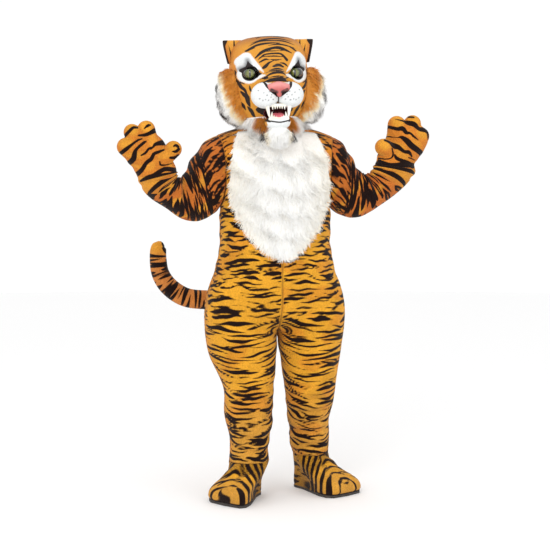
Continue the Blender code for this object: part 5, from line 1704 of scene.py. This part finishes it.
def upper_teeth_field(x, y, z):
    fang = ((0.0450, -0.200, 1.580), (0.0385, -0.203, 1.541), 0.0088, 0.0040)
    small = [((a, -0.203, 1.582), (a, -0.204, 1.578 - reach), 0.0046, 0.0012) for a, reach in INCISORS]
    return teeth_field(x, y, z, (0.036, -0.200, 1.584, 0.0062), fang, 0.003, small)


def lower_teeth_field(x, y, z):
    fang = ((0.0300, -0.204, 1.535), (0.0270, -0.205, 1.557), 0.0055, 0.0014)
    small = [((a, -0.204, 1.535), (a, -0.204, 1.537 + reach), 0.0042, 0.0014) for a, reach in LOWER_TEETH]
    return teeth_field(x, y, z, (0.034, -0.201, 1.531, 0.0078), fang, 0.002, small)


# Name, slot, node, distance function, low and high corner, step, material, paint
MOUTH_FORMS = (
    ("nose_pad", "nose", "nose", nose_field, (-0.056, -0.262, 1.606), (0.056, -0.168, 1.688), 0.0019, NOSE_SKIN,
     nose_paint),
    ("mouth_bowl", "mouth", "mouth_lining", lining_field, (-0.062, -0.200, 1.520), (0.062, -0.110, 1.590), 0.0025,
     MOUTH_RED, None),
    ("tongue_pad", "tongue", "tongue", tongue_field, (-0.034, -0.220, 1.520), (0.034, -0.135, 1.566), 0.0018,
     TONGUE_PINK, None),
    ("row_of_teeth_upper", "teeth", "teeth_upper", upper_teeth_field, (-0.058, -0.216, 1.532), (0.058, -0.186, 1.594),
     0.0014, ENAMEL, None),
    ("row_of_teeth_lower", "teeth", "teeth_lower", lower_teeth_field, (-0.046, -0.216, 1.520), (0.046, -0.188, 1.562),
     0.0014, ENAMEL, None),
)
for form_name, form_slot, form_node, *form in MOUTH_FORMS:
    head_form(form_name, form_slot, (form_node,), *form)


# Ears

EAR_BASE = (0.134, 0.004, 1.774)
EAR_LEAN = math.radians(8)
EAR_HEIGHT = 0.097
EAR_HALF_WIDTH = 0.036
EAR_SPREAD = 0.22
EAR_ROUNDING = 0.12
EAR_CUP = 0.026
EAR_THICKNESS = 0.0095
EAR_MARK_SCALE = 0.045
# Marks inside each ear: share across outward, share of the height, half thickness as a share
EAR_MARKS = (
    ((0.90, -0.10, 0.16), (0.98, 0.45, 0.20), (0.90, 0.85, 0.16), (0.55, 1.00, 0.10)),
    ((0.55, 0.05, 0.02), (0.30, 0.45, 0.08), (0.38, 0.80, 0.02)),
    ((-0.05, 0.55, 0.02), (-0.20, 0.78, 0.09), (-0.25, 1.00, 0.04)),
    ((-0.55, 0.10, 0.03), (-0.45, 0.42, 0.08), (-0.60, 0.80, 0.02)),
    ((0.12, 0.02, 0.02), (0.02, 0.25, 0.06), (0.10, 0.42, 0.02)),
)


def build_ear(side):
    rows, columns = 44, 41
    up = np.array((side * math.sin(EAR_LEAN), 0, math.cos(EAR_LEAN)))
    base = np.array((side * EAR_BASE[0], EAR_BASE[1], EAR_BASE[2]))
    climb, reach = np.meshgrid(np.linspace(0, 1, rows), np.linspace(-1, 1, columns), indexing="ij")
    half = EAR_HALF_WIDTH * (1 + EAR_SPREAD * climb - EAR_ROUNDING * climb**6)
    cup = EAR_CUP * (reach**2 + 0.35 * climb**2)
    soft_tip = 1 - 0.045 * np.abs(reach) ** 3 * climb**4
    grid = base + up * (climb * soft_tip * EAR_HEIGHT)[..., None] + points(reach * half, -cup, 0)
    back = grid.copy()
    back[..., 1] += EAR_THICKNESS * (1 - 0.35 * reach**2)
    mark = stroke_field(reach * side, climb, EAR_MARKS) * EAR_MARK_SCALE
    tone = blend_colour(srgb(232, 168, 62), srgb(206, 128, 62), ramp(np.abs(reach), 0.3, 1.0))
    vertices = np.concatenate([back.reshape(-1, 3), grid.reshape(-1, 3)])
    faces = wall_faces(rows, columns, False)
    back_mark = np.where(np.hypot(reach, climb - 0.55) < 0.36, -0.02, 0.01)
    attributes = {
        "tone": np.concatenate([tone.reshape(-1, 3)] * 2),
        "mark": np.concatenate([back_mark.ravel(), mark.ravel()]),
    }
    name = SIDE_NAMES[side]
    placed = head_placed(vertices)
    ear = new_mesh("ear_shell_" + name, placed, facing_out(placed, faces), attributes, SKIN)
    dress(ear, "plush", "ear_" + name)


both(build_ear)


# Ruffs and chin

def ruff_ratio(x, y, z, side):
    total = (
        np.abs((x - side * RUFF[0]) / RUFF[3]) ** RUFF_POWER + np.abs((y - RUFF[1]) / RUFF[4]) ** RUFF_POWER
        + np.abs((z - RUFF[2]) / RUFF[5]) ** RUFF_POWER
    )
    return total ** (1 / RUFF_POWER)


def ruff_tone(place, side, random):
    """Orange beside the face, then cream and white, with dark locks at the outer edge."""
    x, y, z = np.abs(place[:, 0]), place[:, 1], place[:, 2]
    out = np.hypot(x / 0.230, (z - 1.665) / 0.200)
    limit = 0.79 + 0.09 * ramp(z, 1.62, 1.73)
    tone = blend_colour(RUFF_ORANGE, CREAM, ramp(out, limit - 0.07, limit + 0.02))
    tone = blend_colour(tone, WHITE, ramp(out, limit, limit + 0.09))
    locks = swirl(place, 7 + side, 0.045)[:, 0] + random.normal(size=len(place)) * 0.25
    edge = ramp(out, 0.88, 0.98) * (1 - ramp(z, 1.68, 1.75))
    dark = ramp(locks, 0.10, 0.40) * edge
    tone = blend_colour(tone, DARK, dark)
    tone = blend_colour(tone, GREY, edge * 0.35 * (1 - dark))
    top = ramp(z, 1.715, 1.75)
    tone = blend_colour(tone, RUFF_ORANGE, top)
    behind = ramp(y, 0.015, 0.045)
    bands = ramp(np.sin(z * 2 * math.pi / 0.036 + 2.5 * np.sin(x * 40)), 0.45, 0.75)
    rear = blend_colour(np.broadcast_to(RUFF_ORANGE, tone.shape), DARK, bands)
    return blend_colour(tone, rear, behind)


def build_ruff(side):
    def field(x, y, z):
        ruff = (ruff_ratio(x, y, z, side) - 0.93) * 0.078
        return np.maximum(ruff, -(skull_field(x, y, z) - 0.001))

    low = [side * RUFF[0] - 0.10, RUFF[1] - 0.08, RUFF[2] - 0.124]
    high = [side * RUFF[0] + 0.10, RUFF[1] + 0.08, RUFF[2] + 0.124]
    random = np.random.default_rng(80 + side)

    def paint(place):
        # Painted shade: the base under the blades takes the ruff's colours at 0.85, darker as the shade beneath long
        # fur.
        return {"tone": ruff_tone(place, side, random) * 0.85, "mark": np.full(len(place), UNMARKED)}

    name = SIDE_NAMES[side]
    base = head_form("ruff_base_" + name, "ruff_fur", ("ruff_" + name,), field, low, high, 0.006, SKIN, paint)
    sphere = unit(random.normal(size=(RUFF_TRIES, 3)))
    shaped = np.copysign(np.abs(sphere) ** RUFF_ROUNDING, sphere) * 0.93
    place = np.array((side * RUFF[0], RUFF[1], RUFF[2])) + shaped * np.array(RUFF[3:])
    out = unit(sphere / np.array(RUFF[3:]))
    free = skull_field(place[:, 0], place[:, 1], place[:, 2]) > 0.002
    hidden = sum(form_field(place[:, 0], place[:, 1], place[:, 2], PUFF, s) < 0.004 for s in SIDES) > 0
    keep = free & ~hidden
    place, out = place[keep][:RUFF_BLADES], out[keep][:RUFF_BLADES]
    away = points(side * (np.abs(place[:, 0]) - 0.05), place[:, 1] * 0.6, (place[:, 2] - 1.70))
    flow = unit(away) + points(0, 0, np.full(len(place), -0.75))
    flow = flow - out * (flow * out).sum(axis=1, keepdims=True)
    tone = ruff_tone(place, side, random)
    length = 0.024 + 0.012 * ramp(np.abs(place[:, 0]), 0.12, 0.20)
    length = length * (1 - RUFF_TRIM[side] * ramp(np.abs(place[:, 0]), 0.15, 0.21))
    fur(
        "ruff_pile_" + name, "ruff_fur", head_placed(place), head_turned(out), head_turned(flow), length, 0.0021,
        tone, 90 + side, 0.22, 0.40, 0.035,
    )


both(build_ruff)


def build_chin():
    def field(x, y, z):
        return form_field(x, y, z, CHIN_FUR, grow=-0.006)

    def paint(place):
        # Painted shade: the base under the blades is white at 0.92, a little darker as the shade beneath the fur.
        return {"tone": np.broadcast_to(WHITE, place.shape) * 0.92, "mark": np.full(len(place), UNMARKED)}

    low, high = (-0.056, -0.222, 1.424), (0.056, -0.144, 1.514)
    base = head_form("chin_base", "white_fur", ("chin_fur",), field, low, high, 0.0045, SKIN, paint)
    random = np.random.default_rng(77)
    sphere = unit(random.normal(size=(CHIN_TRIES, 3)))
    sphere = sphere[sphere[:, 1] < 0.45][:CHIN_BLADES]
    radii = np.array(CHIN_FUR[3:]) - 0.006
    place = np.array(CHIN_FUR[:3]) + sphere * radii
    out = unit(sphere / radii)
    flow = points(place[:, 0] * 5, np.full(len(place), -0.15), np.full(len(place), -1.0))
    side = np.abs(place[:, 0])
    tone = blend_colour(WHITE, CREAM, ramp(side, 0.03, 0.045) * 0.5)
    tuft = ramp(side, 0.040, 0.043) * (place[:, 2] < 1.475)
    tone = blend_colour(tone, DARK, tuft * (random.uniform(size=len(place)) < 0.5))
    fur("chin_pile", "white_fur", head_placed(place), out, flow, 0.027, 0.0019, tone, 78, 0.25, 0.35)


build_chin()


# Neck skirt

SKIRT_FRONT_CLIMB = 0.93
SKIRT_BACK_CLIMB = 0.80
SKIRT_SPREAD = 0.22


def build_skirt():
    columns = 120
    around = np.arange(columns) / columns
    rim = read_table(HEAD, np.array(HEAD_BOTTOM))
    low, high = [], []
    for share in around:
        turn = share * 2 * math.pi
        depth = rim[1] if math.cos(turn) > 0 else rim[2]
        top = np.array((rim[0] * math.sin(turn), -depth * math.cos(turn), HEAD_BOTTOM - 0.0004))
        side = 1 if share < 0.5 else -1
        back = 0.25 < share < 0.75
        spread = math.acos(abs(math.cos(turn))) / (math.pi / 2)
        climb = SKIRT_BACK_CLIMB if back else SKIRT_FRONT_CLIMB
        reach = spread * (NECK_SHARE + SKIRT_SPREAD)
        at = yoke_surface(side, np.array([[climb + (1 - climb) * spread]]), np.array([[reach]]), back)[0, 0]
        away = np.array((at[0], at[1], 0)) / math.hypot(at[0], at[1]) + np.array((0, 0, 0.25 + spread * 1.2))
        low.append(at + unit(away) * 0.006)
        high.append(head_placed(top))
    steps = np.linspace(0, 1, 16)[:, None, None]
    grid = np.array(low) * (1 - steps) + np.array(high) * steps
    normals = grid_normals(grid, True)
    if normals[8, 0, 1] > 0:
        normals = -normals
    angle = np.degrees(np.arccos(np.cos(around * 2 * math.pi)))
    tone_ring = blend_colour(np.broadcast_to(WHITE, (columns, 3)), RUFF_ORANGE, ramp(angle, 105, 120))
    tone = np.broadcast_to(tone_ring, grid.shape)
    mark = np.full(grid.shape[:2], UNMARKED)
    skirt = shell_object("skirt_cloth", grid, normals, CLOTH, True, {"tone": tone, "mark": mark}, SKIN)
    dress(skirt, "ruff_fur", "neck_skirt")
    random = np.random.default_rng(41)
    roots, out, row, column = scatter(grid, normals, SKIRT_BLADES, random, True)
    turned = column / columns * 2 * math.pi
    angle = np.degrees(np.arccos(np.cos(turned)))
    flow = points(0.55 * np.sin(turned), -0.45 * np.cos(turned), np.full(len(roots), -1.0))
    beside = ramp(angle, 12, 18) * (1 - ramp(angle, 34, 46)) * ramp(row, 4, 9)
    tone = blend_colour(np.broadcast_to(WHITE, (len(roots), 3)), RUFF_ORANGE, beside)
    tuft = ramp(angle, 17, 20) * (1 - ramp(angle, 25, 28)) * (row < 8) * (random.uniform(size=len(roots)) < 0.75)
    tone = blend_colour(tone, DARK, tuft)
    edge = ramp(angle, 72, 92) * (random.uniform(size=len(roots)) < 0.30)
    tone = blend_colour(tone, GREY, edge)
    stripes = ramp(np.sin(turned * 15 + 1.6 * np.sin(row * 0.6)), 0.55, 0.8)
    rear = blend_colour(np.broadcast_to(RUFF_ORANGE, tone.shape), DARK, stripes * 0.9)
    tone = blend_colour(tone, rear, ramp(angle, 105, 120))
    length = 0.022 + 0.022 * (1 - ramp(angle, 95, 120))
    pile = fur("skirt_pile", "ruff_fur", roots, out, flow, length, 0.0020, tone, 43, 0.34, 0.30)


build_skirt()


# Zip teeth and slider, on the tape's middle line

# Half width, half depth and half height of one tooth
ZIP_TOOTH = (0.0017, 0.0008, 0.0008)
TOOTH_PITCH = 0.0030
ZIP_LOW, ZIP_HIGH = 1.078, 1.422
SLIDER_HEIGHT = 1.416


def zip_line():
    """Heights and depths of the tape's outer face, along its middle."""
    found = {}
    for thing in bpy.data.objects:
        if thing.name.startswith("back_zip") and thing.type == "MESH":
            for vertex in thing.data.vertices:
                place = thing.matrix_world @ vertex.co
                if abs(place.x) < 0.004:
                    level = round(place.z + HOLD_HEIGHT, 3)
                    found[level] = max(found.get(level, -1), place.y)
    levels = sorted(found)
    return np.array(levels), np.array([found[level] for level in levels])


def build_zip_teeth():
    levels, depths = zip_line()
    places = np.arange(ZIP_LOW, ZIP_HIGH, TOOTH_PITCH / 2)
    side = np.where(np.arange(len(places)) % 2 == 0, -1, 1)
    middle = points(side * 0.0009, np.interp(places, levels, depths) + 0.0004, places)
    corner = np.array([(a, b, c) for c in (-1, 1) for b in (-1, 1) for a in (-1, 1)], float)
    vertices = (middle[:, None, :] + corner[None] * np.array(ZIP_TOOTH)).reshape(-1, 3)
    block = np.array(((0, 2, 3, 1), (4, 5, 7, 6), (0, 1, 5, 4), (2, 6, 7, 3), (0, 4, 6, 2), (1, 3, 7, 5)))
    faces = (block[None] + (np.arange(len(places)) * 8)[:, None, None]).reshape(-1, 4)
    metal = moulded_material("zip_metal", srgb(128, 112, 74), srgb(170, 150, 104), 0.34, 900, 0.0003)
    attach(new_mesh("zip_teeth", vertices, [faces], {}, metal), "root")
    depth = float(np.interp(SLIDER_HEIGHT, levels, depths)) + 0.0016

    def field(x, y, z):
        body = ((x / 0.0055) ** 4 + ((y - depth) / 0.0026) ** 4 + ((z - SLIDER_HEIGHT) / 0.0070) ** 4) ** 0.25 - 1
        drop = z - SLIDER_HEIGHT + 0.0155
        tab = ((x / 0.0036) ** 4 + ((y - depth - 0.0022) / 0.0010) ** 4 + (drop / 0.0110) ** 4) ** 0.25 - 1
        return np.minimum(body * 0.0030, tab * 0.0012)

    low, high = (-0.0068, depth - 0.0036, SLIDER_HEIGHT - 0.0285), (0.0068, depth + 0.0046, SLIDER_HEIGHT + 0.0085)
    vertices, faces = surface_net(field, low, high, 0.0007)
    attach(new_mesh("zip_slider", vertices, faces, {}, metal), "root")


build_zip_teeth()


def finish_solids():
    """Materials for the solids that are shown themselves: the soles and the zip's tape."""
    sole = moulded_material("sole_rubber", srgb(48, 44, 42), srgb(66, 60, 56), 0.75, 420, 0.0012)
    zip_cloth = moulded_material("zip_cloth", srgb(40, 32, 26), srgb(58, 46, 36), 0.85, 900, 0.0010)
    for thing in bpy.data.objects:
        for slot in getattr(thing, "material_slots", []):
            if thing.name.startswith("sole_"):
                slot.material = sole
            elif thing.name.startswith("back_zip"):
                slot.material = zip_cloth


finish_solids()


# Floor, light and camera

FLOOR_HEIGHT = -HOLD_HEIGHT - 0.0005
FLOOR_RADII = (1.0, 2.0, 4.0, 8.0, 16.0)
FLOOR_SIDES = 48
WORLD_STRENGTH = 1.02
CAMERA_LENS = 79.07
CAMERA_DISTANCE = 5.0
CAMERA_AZIMUTH = math.radians(-10)
CAMERA_TILT = math.radians(90 - 2.25)
CAMERA_HEIGHT = -0.40


def build_stage():
    floor_mesh = bpy.data.meshes.new("floor")
    turns = [step / FLOOR_SIDES * 2 * math.pi for step in range(FLOOR_SIDES)]
    corners = [(0.0, 0.0, FLOOR_HEIGHT)]
    corners += [(r * math.cos(turn), r * math.sin(turn), FLOOR_HEIGHT) for r in FLOOR_RADII for turn in turns]
    faces = []
    for step in range(FLOOR_SIDES):
        beside = (step + 1) % FLOOR_SIDES
        faces.append((0, 1 + step, 1 + beside))
        for ring in range(len(FLOOR_RADII) - 1):
            inner, outer = 1 + ring * FLOOR_SIDES, 1 + (ring + 1) * FLOOR_SIDES
            faces.append((inner + step, outer + step, outer + beside, inner + beside))
    floor_mesh.from_pydata(corners, [], faces)
    floor = bpy.data.objects.new("floor", floor_mesh)
    for face in floor_mesh.polygons:
        face.use_smooth = True
    bpy.context.scene.collection.objects.link(floor)
    made = Nodes("pale_floor")
    floor_mesh.materials.append(made.finish(Base_Color=(0.96, 0.96, 0.96, 1), Roughness=0.8))


def add_light(name, place, target, size, power):
    data = bpy.data.lights.new(name, "AREA")
    data.shape = "RECTANGLE"
    data.size = data.size_y = size
    data.energy = power
    light = bpy.data.objects.new(name, data)
    light.location = place
    light.rotation_euler = (Vector(target) - Vector(place)).to_track_quat("-Z", "Y").to_euler()
    bpy.context.scene.collection.objects.link(light)


def build_light():
    world = bpy.data.worlds.new("studio")
    bpy.context.scene.world = world
    world.use_nodes = True
    background = world.node_tree.nodes["Background"]
    background.inputs["Color"].default_value = (1, 1, 1, 1)
    background.inputs["Strength"].default_value = WORLD_STRENGTH
    add_light("key", (-2.2, -4.2, 2.4), (0, 0, -0.3), 1.8, 62)
    add_light("fill", (2.8, -3.4, 1.2), (0, 0, -0.5), 2.6, 14)
    add_light("front", (-0.9, -5.2, 0.3), (0, 0, -0.2), 2.4, 24)
    bpy.context.scene.view_settings.view_transform = "Standard"


def build_camera():
    data = bpy.data.cameras.new("camera")
    data.sensor_width = 36.0
    data.lens = CAMERA_LENS
    camera = bpy.data.objects.new("camera", data)
    ahead, beside = CAMERA_DISTANCE * math.cos(CAMERA_AZIMUTH), CAMERA_DISTANCE * math.sin(CAMERA_AZIMUTH)
    camera.location = (beside, -ahead, CAMERA_HEIGHT)
    camera.rotation_euler = (CAMERA_TILT, 0, CAMERA_AZIMUTH)
    bpy.context.scene.collection.objects.link(camera)
    bpy.context.scene.camera = camera


build_stage()
build_light()
build_camera()
